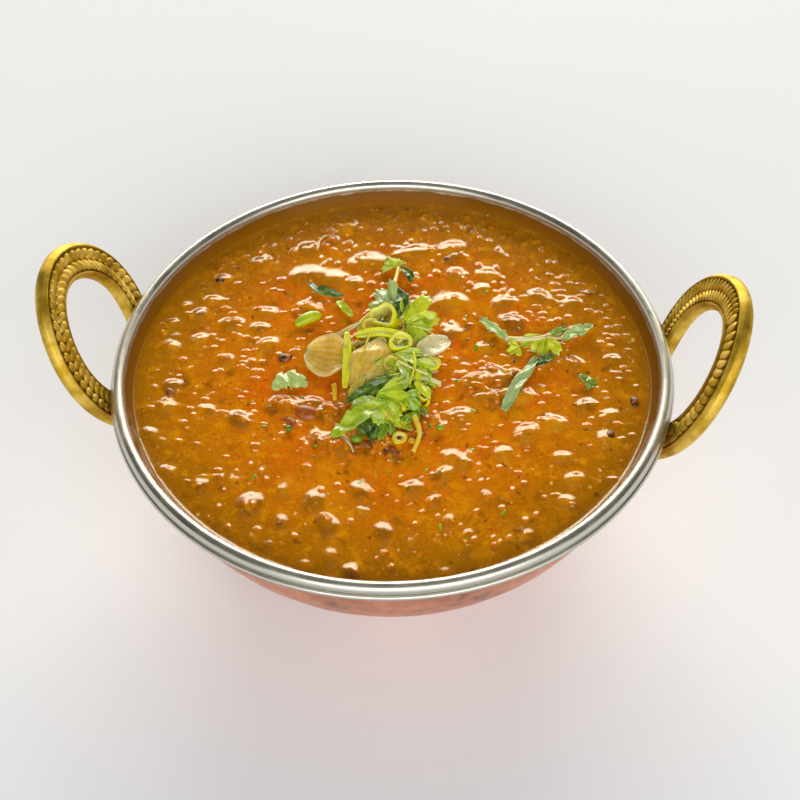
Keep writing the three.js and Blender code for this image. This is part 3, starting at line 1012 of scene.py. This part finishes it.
def addRing(batch, centre, radius, height, wall, axis, hue, turn=0.0, wobble=0.06):
    up = Vector(axis).normalized()
    basis = up.to_track_quat("Z", "Y").to_matrix() @ Matrix.Rotation(turn, 3, "Z")
    centre, basis, oval = batch["place"](*centre), np.array(basis), 0.85
    profile = [(radius - wall * (0.5 - 0.5 * x), height / 2 * y) for x, y in
               ((1, -0.7), (1, 0.7), (0.6, 1), (-0.6, 1), (-1, 0.7), (-1, -0.7), (-0.6, -1), (0.6, -1))]
    around, loop = 44, len(profile)
    points, veins = [], []
    for a in 2 * math.pi * np.arange(around) / around:
        swell = 1 + wobble * math.sin(3 * a + radius) + wobble * 0.5 * math.sin(5 * a)
        for r, z in profile:
            flat = (r * swell * math.cos(a), r * swell * oval * math.sin(a), z + 0.12 * math.sin(2 * a))
            points.append(centre + basis @ flat * mm)
            veins.append(1.0 if r < radius - wall * 0.7 else 0.0)
    rows = [range(k * loop, (k + 1) * loop) for k in range(around)]
    addPart(batch, points, bands(rows + rows[:1]), hue, 0.0, veins)


herbLook = {
    "dark": srgb(48, 82, 12),
    "middle": srgb(140, 176, 8),
    "bright": srgb(214, 220, 14),
    "under": srgb(184, 206, 136),
    "vein": srgb(206, 222, 120),
    "roughness": 0.26,
}
onionLook = {
    "green": srgb(228, 230, 10),
    "amber": srgb(214, 166, 26),
    "yellow": srgb(234, 208, 70),
    "white": srgb(224, 216, 168),
    "stain": srgb(190, 116, 14),
    "roughness": 0.22,
}


def herbMaterial(look):
    material, shader, where = newMaterial("corianderLeaf")
    hue, under, vein = (readMark(shader, name) for name in ("hue", "under", "vein"))
    cloud = noiseAt(where, 2.6 * mm, 4, 0.6)
    fine = noiseAt(where, 0.5 * mm, 3, 0.6)
    colour = ramp(swing(cloud, 0.9, hue), (0.05, look["dark"]), (0.5, look["middle"]), (0.95, look["bright"]))
    colour = mixColour(times(under, 0.75), colour, look["under"])
    colour = mixColour(times(vein, 0.26), colour, look["vein"])
    colour = mixColour(between(fine, 0.5, 0.75, 0.35), colour, look["dark"])
    plug(shader, {
        "Base Color": colour,
        "Roughness": roughness(cloud, look, 0.08, 0.16, 0.3, 0.7),
        "Normal": bump(minus(fine, times(vein, 0.6)), 0.5, 0.12 * mm),
        "Coat Weight": 0.3,  # wet
        "Coat Roughness": 0.12,
        "Subsurface Weight": 0.25,
        "Subsurface Radius": (0.8, 1.0, 0.3),
        "Subsurface Scale": 0.4 * mm,
    })
    return material


def onionMaterial(look):
    material, shader, where = newMaterial("cutOnion")
    hue, vein = readMark(shader, "hue"), readMark(shader, "vein")
    cloud = noiseAt(where, 3.2 * mm, 3, 0.6)
    fine = noiseAt(where, 0.6 * mm, 3, 0.6)
    colour = ramp(swing(cloud, 0.5, hue), (0.0, look["white"]), (0.3, look["yellow"]), (0.55, look["amber"]),
                  (0.9, look["green"]))
    colour = mixColour(times(vein, 0.45), colour, look["white"])
    colour = mixColour(between(cloud, 0.52, 0.75, 0.3), colour, look["stain"])
    plug(shader, {
        "Base Color": colour,
        "Roughness": roughness(fine, look, 0.08, 0.14),
        "Normal": bump(minus(times(fine, 0.6), vein), 0.5, 0.2 * mm),
        "Subsurface Weight": 0.6,
        "Subsurface Radius": (1.0, 0.85, 0.35),
        "Subsurface Scale": 1.6 * mm,
    })
    return material


# The heap's own pieces: x, y and height over the gravy's level, and all other sizes, in mm.
# Long and narrow leaves: points along the middle, width, hue from 0 dark to 1 pale
heapBlades = [
    ([(1.1, -16, 5.6), (-4, -18.4, 4.6), (-9.5, -22.3, 2.4), (-13.8, -25.6, 0.9)], 6, 0.62,
     {"lean": -0.3, "teeth": 5, "depth": 0.28}),
    ([(4.6, -8.8, 7.2), (-1.2, -10.8, 6.9), (-6.5, -13, 5), (-11, -14.6, 2.6)], 3.6, 0.12,
     {"lean": 0.5, "teeth": 4}),
    ([(-2.4, -15.2, 5.4), (-6, -16, 4.4), (-9.2, -17.4, 2.6)], 3.4, 0.6, {}),
    ([(-2.6, 26, 6.2), (0.6, 21, 7.4), (1.3, 17.5, 7.4), (0.4, 13.4, 6.4)], 5, 0.02,
     {"lean": -0.3, "teeth": 4, "depth": 0.35}),
    ([(-6, -19.6, 2.8), (-3.6, -22.6, 1.8), (-2.6, -26, 0.9)], 3.6, 0.02, {}),
    ([(-1, 38.6, 2.4), (1.8, 35.6, 2.2), (2.4, 33, 1.6)], 2.6, 0.1, {}),
]
# Lobed leaves: base, tip, hue
heapFans = [
    ((2.4, 12.6, 6.4), (11, 17.6, 8), 0.85, {"spread": 80, "lobes": 4}),
    ((3, 11.8, 6), (10.4, 8.4, 5.6), 0.7, {"spread": 70, "lobes": 4, "depth": 0.55}),
    ((-1, 18.4, 6.6), (-6.2, 24.6, 5.6), 0.45,
     {"spread": 55, "lobes": 3, "depth": 0.3, "facing": (0.3, 0.45, -1)}),
    ((-2.4, -14, 6.2), (6.2, -17.6, 3.4), 0.68, {"spread": 75, "lobes": 4, "depth": 0.4}),
    ((1, 0.6, 6.4), (5, -7.4, 5.8), 0.72, {"spread": 85, "lobes": 5, "depth": 0.6}),
    ((5, -2, 5.6), (9.6, -9, 4), 0.7, {"spread": 75, "lobes": 4, "depth": 0.6}),
    ((-3.2, 38.6, 1.8), (-5.8, 43, 1.5), 0.8, {"spread": 100, "lobes": 5, "depth": 0.4}),
    ((4, -12, 4.4), (8.4, -15.4, 2.6), 0.5, {"spread": 70, "lobes": 3}),
    ((1, -19.5, 2.4), (-1, -24.6, 1), 0.34, {"spread": 62, "lobes": 3}),
]
# Onion: points, width, hue, thickness, cup, bluntness, ribs, wave
heapSlices = [
    ([(-23.6, 3.2, 2), (-17.4, 1.6, 2.2), (-11.6, 0.4, 3.4)], 12.6, 0.52, 0.6, 0.3, 0.5, 7, 0.05,
     {"lean": -0.1}),
    ([(-8.6, -9.4, 2.2), (-5.6, -2.6, 5.6), (-2.6, 4.8, 6.2)], 11.6, 0.45, 0.9, -0.34, 0.55, 7, 0.05, {}),
    ([(-6.4, -6, 4.2), (-8.6, -9.6, 2.8), (-9.8, -12, 1.8)], 2.6, 0.3, 0.9, 0.2, 0.4, 0, 0.04, {}),
    ([(6.4, 2.6, 4.2), (10.4, 5.8, 4), (14.6, 9.8, 2.6)], 6, 0.02, 0.7, 0.3, 0.45, 5, 0.05, {}),
    ([(-10.4, 7.4, 5.2), (-4, 7.6, 6.8), (4.4, 6, 7)], 2.6, 0.95, 0.6, 0.3, 0.25, 0, 0.04, {}),
    ([(-12.9, 8.2, 5.4), (-11.9, -0.6, 4.8), (-11.5, -9.8, 2.8)], 2.2, 0.95, 0.5, 0.25, 0.2, 0, 0.04, {}),
    ([(-9.6, 9.6, 3), (-8, 13.6, 3.2), (-5.8, 18, 3.4)], 4.4, 0.3, 0.7, 0.3, 0.4, 5, 0.04, {}),
    ([(-23.4, 3.6, 1.6), (-16.4, 9, 2.6), (-9.6, 13.4, 4.4)], 1.5, 0.12, 0.5, 0.3, 0.3, 0, 0.1,
     {"lean": -0.5}),
]
# Spring onion rings: centre, radius, height, wall, the way it faces, hue
heapRings = [
    ((-3, 15, 4.6), 4, 6, 1.2, (-0.25, -0.35, 0.9), 0.9, {"turn": 0.4, "wobble": 0.1}),
    ((2, 4.4, 6.6), 3.2, 2.4, 1.1, (0.1, -0.35, 1), 1, {}),
    ((-6.8, 11, 5.2), 2.6, 1.8, 0.6, (0.5, -0.3, 1), 0.8, {}),
    ((10.8, 0.6, 2.8), 2.3, 1.7, 1.6, (0.2, -0.5, 1), 0.85, {}),
    ((9.4, -10.4, 3), 2.2, 1.4, 0.6, (0.6, -0.3, 0.8), 0.9, {}),
    ((4.2, -24.6, 1.2), 2, 1.4, 1.2, (0.1, -0.3, 1), 0.75, {}),
]
# Fine shreds of leaf: points, width, hue
heapShreds = [
    ([(3.4, -1, 6.9), (6.4, -2, 6.3), (9.6, -1.2, 4.8)], 1.6, 0.8, {"flip": True}),
    ([(2.6, -5, 7.2), (4.4, -8, 6.8), (4.6, -11.6, 5.6)], 2.2, 0.7, {"flip": True}),
    ([(8.8, -2.6, 5.4), (7.6, -6, 5.4), (8.4, -10, 4.4)], 1.8, 0.9, {}),
    ([(6.8, -8.6, 5.4), (9, -10.4, 4.6), (11.4, -12, 3)], 2.4, 0.95, {}),
    ([(-8.8, -16.2, 4), (-6, -15.6, 4.8), (-2.8, -15.4, 5.6)], 2.4, 0.7, {"flip": True}),
    ([(-5.4, 21.6, 6), (-3.6, 19.2, 6.8), (-1.4, 16.8, 7)], 2.6, 0.3, {"flip": True}),
]
# Rounded bits of leaf: points, radius, hue
heapBits = [
    ([(-8.3, -25.2, 0.9), (-6.7, -25.7, 1.2), (-5.2, -25.6, 0.9)], 1.2, 0.35),
    ([(-25.6, -23, 0.5), (-24.7, -23.2, 0.8), (-23.8, -23.2, 0.5)], 1, 0.25),
    ([(13.6, -20.6, 1), (14.6, -20.2, 1.3), (15.6, -20.2, 1)], 0.9, 0.55),
]
# Stems: points, radius, hue
heapStems = [
    ([(2, -3, 7), (5.6, -5.2, 7.2), (10.2, -5.8, 5.4)], 0.3, 0.1, {}),
    ([(5.8, 1, 6.8), (6.6, -4.2, 7), (5.6, -10.4, 6.4)], 0.35, 0.9, {}),
    ([(-6.4, 6.4, 7), (-7.2, 1.2, 7), (-7.6, -4.4, 5.8)], 0.3, 0.6, {}),
    ([(6.6, -24.6, 0.8), (7.6, -25.2, 1), (9, -25.2, 0.7)], 0.9, 0.5, {"rounded": True}),
    ([(7.6, -18.2, 2.8), (9.3, -23.2, 1.8), (8.2, -28.6, 0.9)], 0.75, 0.35, {}),
    ([(-9.8, -25.6, 0.9), (-8.2, -27.4, 0.9), (-7.1, -29.6, 0.6)], 0.35, 0, {}),
    ([(-2.4, 27.4, 4), (-2, 32, 2.8), (-1.6, 38.4, 2.2)], 0.7, 0.3, {}),
    ([(-0.6, 37.4, 2.2), (2, 36.2, 1.8), (4.6, 35.8, 1)], 0.5, 0.1, {}),
    ([(6.2, -6.4, 5), (9.8, -5.4, 3.4), (13.6, -5.2, 1.6)], 0.8, 0.05, {"flat": 0.5}),
    ([(-14.6, -8.2, 2), (-14.2, -10.4, 1.6), (-13.9, -12.8, 1.1)], 0.8, 0.5, {}),
]
# Chopped pieces under and between them
heapFill = {
    "pieces": 190,
    "centre": (0.2, -0.5),
    "halfWidth": 10.5,
    "halfLength": 23.0,
    "height": 5.0,
    "lowest": 0.9,
    "kinds": {"blade": 0.27, "fan": 0.5, "ring": 0.62, "slice": 0.76},  # shares, each on top of the last
    "seed": 14,
}


def addSlice(batch, line, width, hue, thickness, cup, blunt, ribs, wave, lean=0.0, seed=1):
    addBlade(batch, line, width, hue, thickness, fold=0, teeth=1, depth=0, lean=lean, cup=cup, blunt=blunt,
             wave=wave, ribs=ribs, seed=seed)


def fillHeap(leaves, slices, rings, stems):  # chopped pieces that the ones on top lie on
    rng = random.Random(heapFill["seed"])
    kinds, lowest = heapFill["kinds"], heapFill["lowest"]
    for k in range(heapFill["pieces"]):
        turn, reach = rng.uniform(0, 2 * math.pi), rng.uniform(0, 1) ** 0.6
        x = heapFill["centre"][0] + heapFill["halfWidth"] * reach * math.cos(turn)
        y = heapFill["centre"][1] + heapFill["halfLength"] * reach * math.sin(turn)
        h = 0.7 + heapFill["height"] * (1 - reach ** 2) * rng.uniform(0.3, 0.9)
        heading, length = rng.uniform(0, 2 * math.pi), rng.uniform(3, 7)
        dx, dy = length / 2 * math.cos(heading), length / 2 * math.sin(heading)
        tip = (x + dx, y + dy, max(lowest, h - rng.uniform(0, 1.6)))
        middle = (x, y, h + 0.5)
        end = (x - dx, y - dy, max(lowest, h - rng.uniform(0, 1.6)))
        kind = rng.uniform(0, 1)
        if kind < kinds["blade"]:
            addBlade(leaves, [end, middle, tip], rng.uniform(1.8, 3.4), rng.uniform(0.05, 0.95),
                     lean=rng.uniform(-1, 1), seed=100 + k)
        elif kind < kinds["fan"]:
            addFan(leaves, end, tip, rng.uniform(0.15, 0.95), rng.uniform(60, 100), lobes=3, depth=0.45,
                   facing=(rng.uniform(-0.8, 0.8), rng.uniform(-0.9, 0.2), 1), seed=200 + k)
        elif kind < kinds["ring"]:
            addRing(rings, middle, rng.uniform(1.2, 2.4), rng.uniform(1.0, 2.2), rng.uniform(0.5, 0.8),
                    (rng.uniform(-0.9, 0.9), rng.uniform(-0.9, 0.4), 1), rng.uniform(0.45, 1.0))
        elif kind < kinds["slice"]:
            addSlice(slices, [end, middle, tip], rng.uniform(1.8, 3.6), rng.uniform(0.0, 0.9), 0.7,
                     cup=0.3, blunt=0.4, ribs=3, wave=0.06, seed=300 + k)
        else:
            addStem(stems, [end, middle, tip], rng.uniform(0.28, 0.7), rng.uniform(0.0, 0.95))


def makeHeap():
    herb, onion = herbMaterial(herbLook), onionMaterial(onionLook)
    leaves, slices, rings, stems = (newBatch(overDal) for i in range(4))
    for batch, add, firstSeed, rows in (
            (leaves, addBlade, 3, heapBlades), (leaves, addFan, 11, heapFans),
            (slices, addSlice, 21, heapSlices), (leaves, addBlade, 51, heapShreds)):
        for k, (*shape, own) in enumerate(rows):
            add(batch, *shape, seed=firstSeed + k, **own)
    for batch, add, rows in ((rings, addRing, heapRings), (stems, addStem, heapStems)):
        for *shape, own in rows:
            add(batch, *shape, **own)
    for row in heapBits:
        addStem(leaves, *row, rounded=True)
    fillHeap(leaves, slices, rings, stems)
    batchPiece("heapLeaves", leaves, herb, "herb", "garnish_heap")
    batchPiece("heapOnionSlices", slices, onion, "herb")
    batchPiece("heapOnionRings", rings, onion, "herb")
    batchPiece("heapStems", stems, onion, "herb")
    return herb, onion


beanLook = {
    "black": srgb(50, 30, 8),
    "brown": srgb(126, 70, 12),
    "red": srgb(156, 78, 8),
    "seam": srgb(170, 120, 60),
    "gravy": srgb(192, 106, 6),
    "roughness": 0.36,
}
# Whole seeds standing clear of the gravy: x, y, length in mm, turn and tilt in degrees, hue 0 black to 1 red
beans = [
    (-29.4, 2.6, 4.6, 20, 10, 0.2), (-21.0, -16.6, 8.0, -12, 4, 0.9), (58, -19, 4.2, 70, -10, 0.25),
    (-52.2, 31.6, 3.6, 15, 20, 0.2), (64.8, -6.5, 3.8, 100, 0, 0.2), (-55.5, 17.4, 3.8, 35, 12, 0.45),
    (-22.1, -53.2, 3.4, 20, 6, 0.6), (-58.2, -12.4, 3.8, -40, 10, 0.5), (12.4, 45.2, 3.6, 0, 6, 0.45),
    (3.6, -54.8, 3.8, 35, 5, 0.5),
]


def addBean(batch, centre, length, turn, tilt, hue):  # a closed seed with a seam along one side
    around, steps, seam = 20, 13, 4.2
    size = np.array([1.0, 0.68, 0.6]) * length * mm / 2
    basis = Matrix.Rotation(math.radians(turn), 3, "Z") @ Matrix.Rotation(math.radians(tilt), 3, "Y")
    basis = np.array(basis)
    points, veins = [], []
    for k in range(1, steps):
        a = math.pi * k / steps
        for i in range(around):
            b = 2 * math.pi * i / around
            fromSeam, fromMiddle = b - seam, a - math.pi / 2
            notch = 0.10 * math.exp(-(fromSeam / 0.35) ** 2 - (fromMiddle / 0.8) ** 2)
            spot = np.array([math.cos(a), math.sin(a) * math.cos(b), math.sin(a) * math.sin(b)]) * (1 - notch)
            spot[1] += 0.12 * spot[0] ** 2
            points.append(centre + basis @ (spot * size))
            veins.append(math.exp(-(fromSeam / 0.2) ** 2 - (fromMiddle / 0.4) ** 2))
    rows = [range(k * around, (k + 1) * around) for k in range(steps - 1)]
    faces, first, last = bands(rows), len(points), len(points) + 1
    points += [centre + basis @ (np.array([x, 0.12, 0]) * size) for x in (1.0, -1.0)]
    veins += [0.0, 0.0]
    for i in range(around):
        j = (i + 1) % around
        faces += [(first, i, j), (last, rows[-1][j], rows[-1][i])]
    addPart(batch, points, faces, hue, 0.0, veins)


def beanMaterial(look):
    material, shader, where = newMaterial("beanSkin")
    hue, vein = readMark(shader, "hue"), readMark(shader, "vein")
    cloud = noiseAt(where, 1.6 * mm, 4, 0.6)
    colour = ramp(swing(cloud, 0.6, hue), (0.1, look["black"]), (0.5, look["brown"]), (0.9, look["red"]))
    colour = mixColour(vein, colour, look["seam"])
    plug(shader, {
        "Base Color": mixColour(between(cloud, 0.5, 0.62, 0.8), colour, look["gravy"]),
        "Roughness": roughness(cloud, look, 0.1, 0.15),
        "Normal": bump(cloud, 0.3, 0.15 * mm),
    })
    return material


# Slipped bean skins: x, y, length in mm, turn in degrees, hue
skins = [
    (-4.5, -26.6, 6.5, 15, 0.6), (2.0, -28.6, 5.5, -10, 0.45), (9.6, -22.6, 4.5, 60, 0.5),
    (-25.0, -20.4, 5, -25, 0.8),
]


def makeBeans():
    batch = newBatch(onDal)
    for x, y, length, turn, tilt, hue in beans:
        addBean(batch, overDal(x, y, 0.3 - 0.16 * length), length, turn, tilt, hue)
    for k, (x, y, length, turn, hue) in enumerate(skins):
        dx, dy = (length / 2 * f(math.radians(turn)) for f in (math.cos, math.sin))
        addBlade(batch, [(x - dx, y - dy, -0.2), (x, y, 0.4), (x + dx, y + dy, -0.2)], 0.5 * length, hue,
                 fold=0, cup=-0.5, depth=0, blunt=0.6, veined=0, seed=60 + k)
    batchPiece("wholeBeans", batch, beanMaterial(beanLook), "dal")


makeBeans()
print("beans done")


def crumbTree(material):  # flakes lying on the gravy, closer together towards the heap
    tree, given = newGeometryTree("herbCrumbs", {
        "Gravy": None, "Spacing": 4 * mm, "Density": 9000.0, "Reach": 60 * mm, "Smallest": 0.4 * mm,
        "Largest": 1.2 * mm, "Seed": 3})
    level = node(tree, "FunctionNodeCompare", {0: heightOf(geo(tree, "InputNormal")), 1: 0.6},
                 operation="GREATER_THAN").outputs[0]
    thinning = between(fromAxis(geo(tree, "InputPosition")), 0.0, given["Reach"], 0.0, 1.0)
    scatter = geo(tree, "DistributePointsOnFaces", {
        "Mesh": inObject(tree, given["Gravy"]), "Selection": level, "Distance Min": given["Spacing"],
        "Density Max": given["Density"], "Density Factor": thinning, "Seed": given["Seed"]},
        distribute_method="POISSON")
    size = anyFrom(tree, given["Smallest"], given["Largest"], given["Seed"])
    placed = geo(tree, "InstanceOnPoints", {
        "Points": scatter, "Instance": geo(tree, "MeshIcoSphere", {"Radius": 0.5, "Subdivisions": 2}),
        "Rotation": anyFrom(tree, (-0.3, -0.3, -3.1), (0.3, 0.3, 3.1), 9),
        "Scale": xyz(times(size, anyFrom(tree, 1.0, 2.6, 21)), size, times(size, 0.3))})
    return endTree(stored(placed, "hue", anyFrom(tree, 0.05, 0.6, 4), "INSTANCE"), material)


herb, onion = makeHeap()
print("garnish heap done")


crumbs = {
    "Spacing": 2.5 * mm,
    "Density": 16000.0,
    "Seed": 3,
}


def makeCrumbs(herb):
    piece = meshPiece("herbCrumbs", [(0, 0, dalLevel)], [])
    runTree(piece, crumbTree(herb), {"Gravy": dalSurface, **crumbs})
    piece.data.shade_smooth()
    settle(piece, "herb")


makeCrumbs(herb)
print("crumbs done")


def makeLooseLeaves(herb, onion):
    def single(name, nodeName, add, *shape, **own):
        batch = newBatch(onDal)
        add(batch, *shape, **own)
        batchPiece(name, batch, herb, "herb", nodeName)

    single("leafBack", "leaf_back", addBlade,
           [(-27, 31.8, 0.5), (-24.4, 29.2, 0.9), (-20.6, 27.8, 0.9), (-16.2, 27.6, 0.4)],
           3.0, 0.1, fold=0.4, teeth=3, lean=0.5, wave=0.25, seed=31)
    single("leafLeft", "leaf_left", addStem,
           [(-28.4, 14.7, 0.4), (-25, 17.6, 0.7), (-21.6, 19.2, 0.4)], 1.7, 0.75, taper=-0.1, rounded=True)
    single("leafFront", "leaf_front", addBlade,
           [(-22, -7.9, 0.6), (-25.4, -6.6, 1.8), (-28.4, -7.4, 1.8), (-31.2, -9.4, 0.5)],
           6.6, 0.8, fold=0.1, cup=-0.3, teeth=4, depth=0.4, blunt=0.65, lean=-0.1, seed=33, flip=True)
    single("leafRight", "leaf_right", addFan, (51.6, -1.8, 1.1), (54.2, 0.4, 1.1), 0.3,
           lobes=4, depth=0.4, cup=0.3, pleat=0.3, seed=34)
    # the sprig
    leaves, stems = newBatch(onDal), newBatch(onDal)
    addBlade(leaves, [(30.8, 13.2, 0.8), (28.4, 14.4, 1.3), (25.4, 17.6, 1.1), (22.8, 20.4, 0.6)],
             3.8, 0.6, fold=0.5, blunt=0.5, teeth=3, depth=0.3, lean=0.4, seed=35, flip=True)
    addFan(leaves, (39.6, 14.8, 1.9), (35.4, 8.4, 1.2), 0.85, 45, lobes=2, seed=36)
    addFan(leaves, (41.4, 14.6, 2.0), (42.4, 7.0, 1.2), 0.9, 38, lobes=2, seed=37)
    addBlade(leaves, [(37.6, 3.6, 1.0), (40.4, 5.0, 1.5), (43.6, 8.0, 1.2)], 2.8, 0.05, fold=0.5, seed=38)
    addBlade(leaves, [(38.6, 6.4, 1.2), (36.4, 1.4, 1.5), (34, -4, 1.4), (32, -9.2, 1.1), (30.4, -12.8, 0.8)],
             3.3, 0.0, blunt=0.25, teeth=9, depth=0.15, wave=0.35, seed=39, flip=True)
    addBlade(leaves, [(45.4, 12.4, 1.6), (48.4, 15.6, 2.0), (51.6, 17.8, 1.5), (53.8, 20.2, 0.8)],
             3.6, 0.5, fold=0.5, blunt=0.5, teeth=3, depth=0.35, lean=-0.3, seed=40, flip=True)
    addBlade(leaves, [(41.6, 14.6, 2.1), (44.4, 15.6, 2.3), (46.6, 18.6, 1.5)],
             2.6, 0.3, fold=0.5, teeth=3, depth=0.35, seed=43)
    addFan(leaves, (34.0, 10.4, 1.1), (30.8, 8.4, 0.8), 0.85, 80, lobes=3, seed=41)
    addStem(stems, [(30, 13.2, 0.9), (35, 12.8, 1.6), (40.4, 13.6, 2.1), (45.2, 17.6, 1.7)], 0.8, 0.05)
    addStem(stems, [(40.4, 13.8, 2.1), (44.6, 13.6, 1.8), (49.6, 15.4, 1.3)], 0.5, 0.1)
    # a pale strip near the heap
    addBlade(leaves, [(-17.9, 24.8, 0.7), (-15.6, 22.2, 1.0), (-13, 19, 0.7)],
             2.0, 0.8, blunt=0.25, teeth=1, depth=0, seed=42)
    batchPiece("sprigLeaves", leaves, herb, "herb", "coriander_sprig")
    batchPiece("sprigStems", stems, onion, "herb")


makeLooseLeaves(herb, onion)
print("loose leaves done")

studio = {
    "distance": 360 * mm,
    "elevation": 48.25,
    "azimuth": 6.08,
    "roll": -1.34,
    "lens": 60.55,
    "right": 2.23 * mm,
    "up": -10.49 * mm,
    "floor": srgb(240, 242, 246),
    "floorPale": srgb(245, 247, 250),
}
# Lights: place and target in m, width and height in m, watts, colour
lights = {
    "window": ((-0.1, 2.05, 0.84), (0, 0.01, 0.05), (2.0, 0.88), 53.0, (1, 0.96, 0.84)),
    "softbox": ((0.25, -1.15, 0.85), (0, 0, 0.03), (1.9, 0.8), 17.5, (1, 1, 1)),
}
# The room's light from straight below, 0, to straight above, 1
room = [(0.0, 1.35), (0.25, 1.05), (0.42, 0.06), (0.85, 0.06), (0.96, 0.26)]


def inScene(name, data):
    made = bpy.data.objects.new(name, data)
    bpy.context.scene.collection.objects.link(made)
    return made


def makeCamera():
    elevation, azimuth, roll = (math.radians(studio[k]) for k in ("elevation", "azimuth", "roll"))
    back = Vector((math.sin(azimuth) * math.cos(elevation), -math.cos(azimuth) * math.cos(elevation),
                   math.sin(elevation)))
    level = Vector((math.cos(azimuth), math.sin(azimuth), 0))
    upright = back.cross(level)
    right = level * math.cos(roll) + upright * math.sin(roll)
    up = upright * math.cos(roll) - level * math.sin(roll)
    place = (Vector((0, 0, karahi["rollHeight"])) + back * studio["distance"]
             + right * studio["right"] + up * studio["up"])
    camera = inScene("camera", bpy.data.cameras.new("camera"))
    camera.data.lens = studio["lens"]
    camera.data.sensor_width = 36
    camera.data.clip_start = 0.01
    camera.matrix_world = Matrix.Translation(place) @ Matrix((right, up, back)).transposed().to_4x4()
    bpy.context.scene.camera = camera


def makeStudio():
    half = 1.7
    corners = [(x * half, y * half, 0) for x, y in ((-1, -1), (1, -1), (1, 1), (-1, 1))]
    floor = meshPiece("floor", corners, [(0, 1, 2, 3)])
    floor.location.z = -0.2 * mm
    material, shader, where = newMaterial("paleFloor")
    tint = ramp(noiseAt(where, 0.3, 2), (0.3, studio["floor"]), (0.7, studio["floorPale"]))
    plug(shader, {"Base Color": tint, "Roughness": 0.9})
    floor.data.materials.append(material)
    for name, (place, target, size, power, colour) in lights.items():
        light = inScene(name, bpy.data.lights.new(name, "AREA"))
        light.data.shape = "RECTANGLE"
        light.data.size, light.data.size_y = size
        light.data.energy = power
        light.data.color = colour
        light.location = place
        light.rotation_euler = (Vector(target) - Vector(place)).to_track_quat("-Z", "Y").to_euler()
    world = bpy.data.worlds.new("room")
    bpy.context.scene.world = world
    world.use_nodes = True
    tree = world.node_tree
    up = heightOf(node(tree, "ShaderNodeTexCoord").outputs["Generated"])
    sky = ramp(up, *((share, (light, light, light)) for share, light in room))
    plug(tree.nodes["Background"], {"Color": sky, "Strength": 1.0})
    bpy.context.scene.view_settings.view_transform = "Standard"


makeCamera()
makeStudio()
print("studio done")
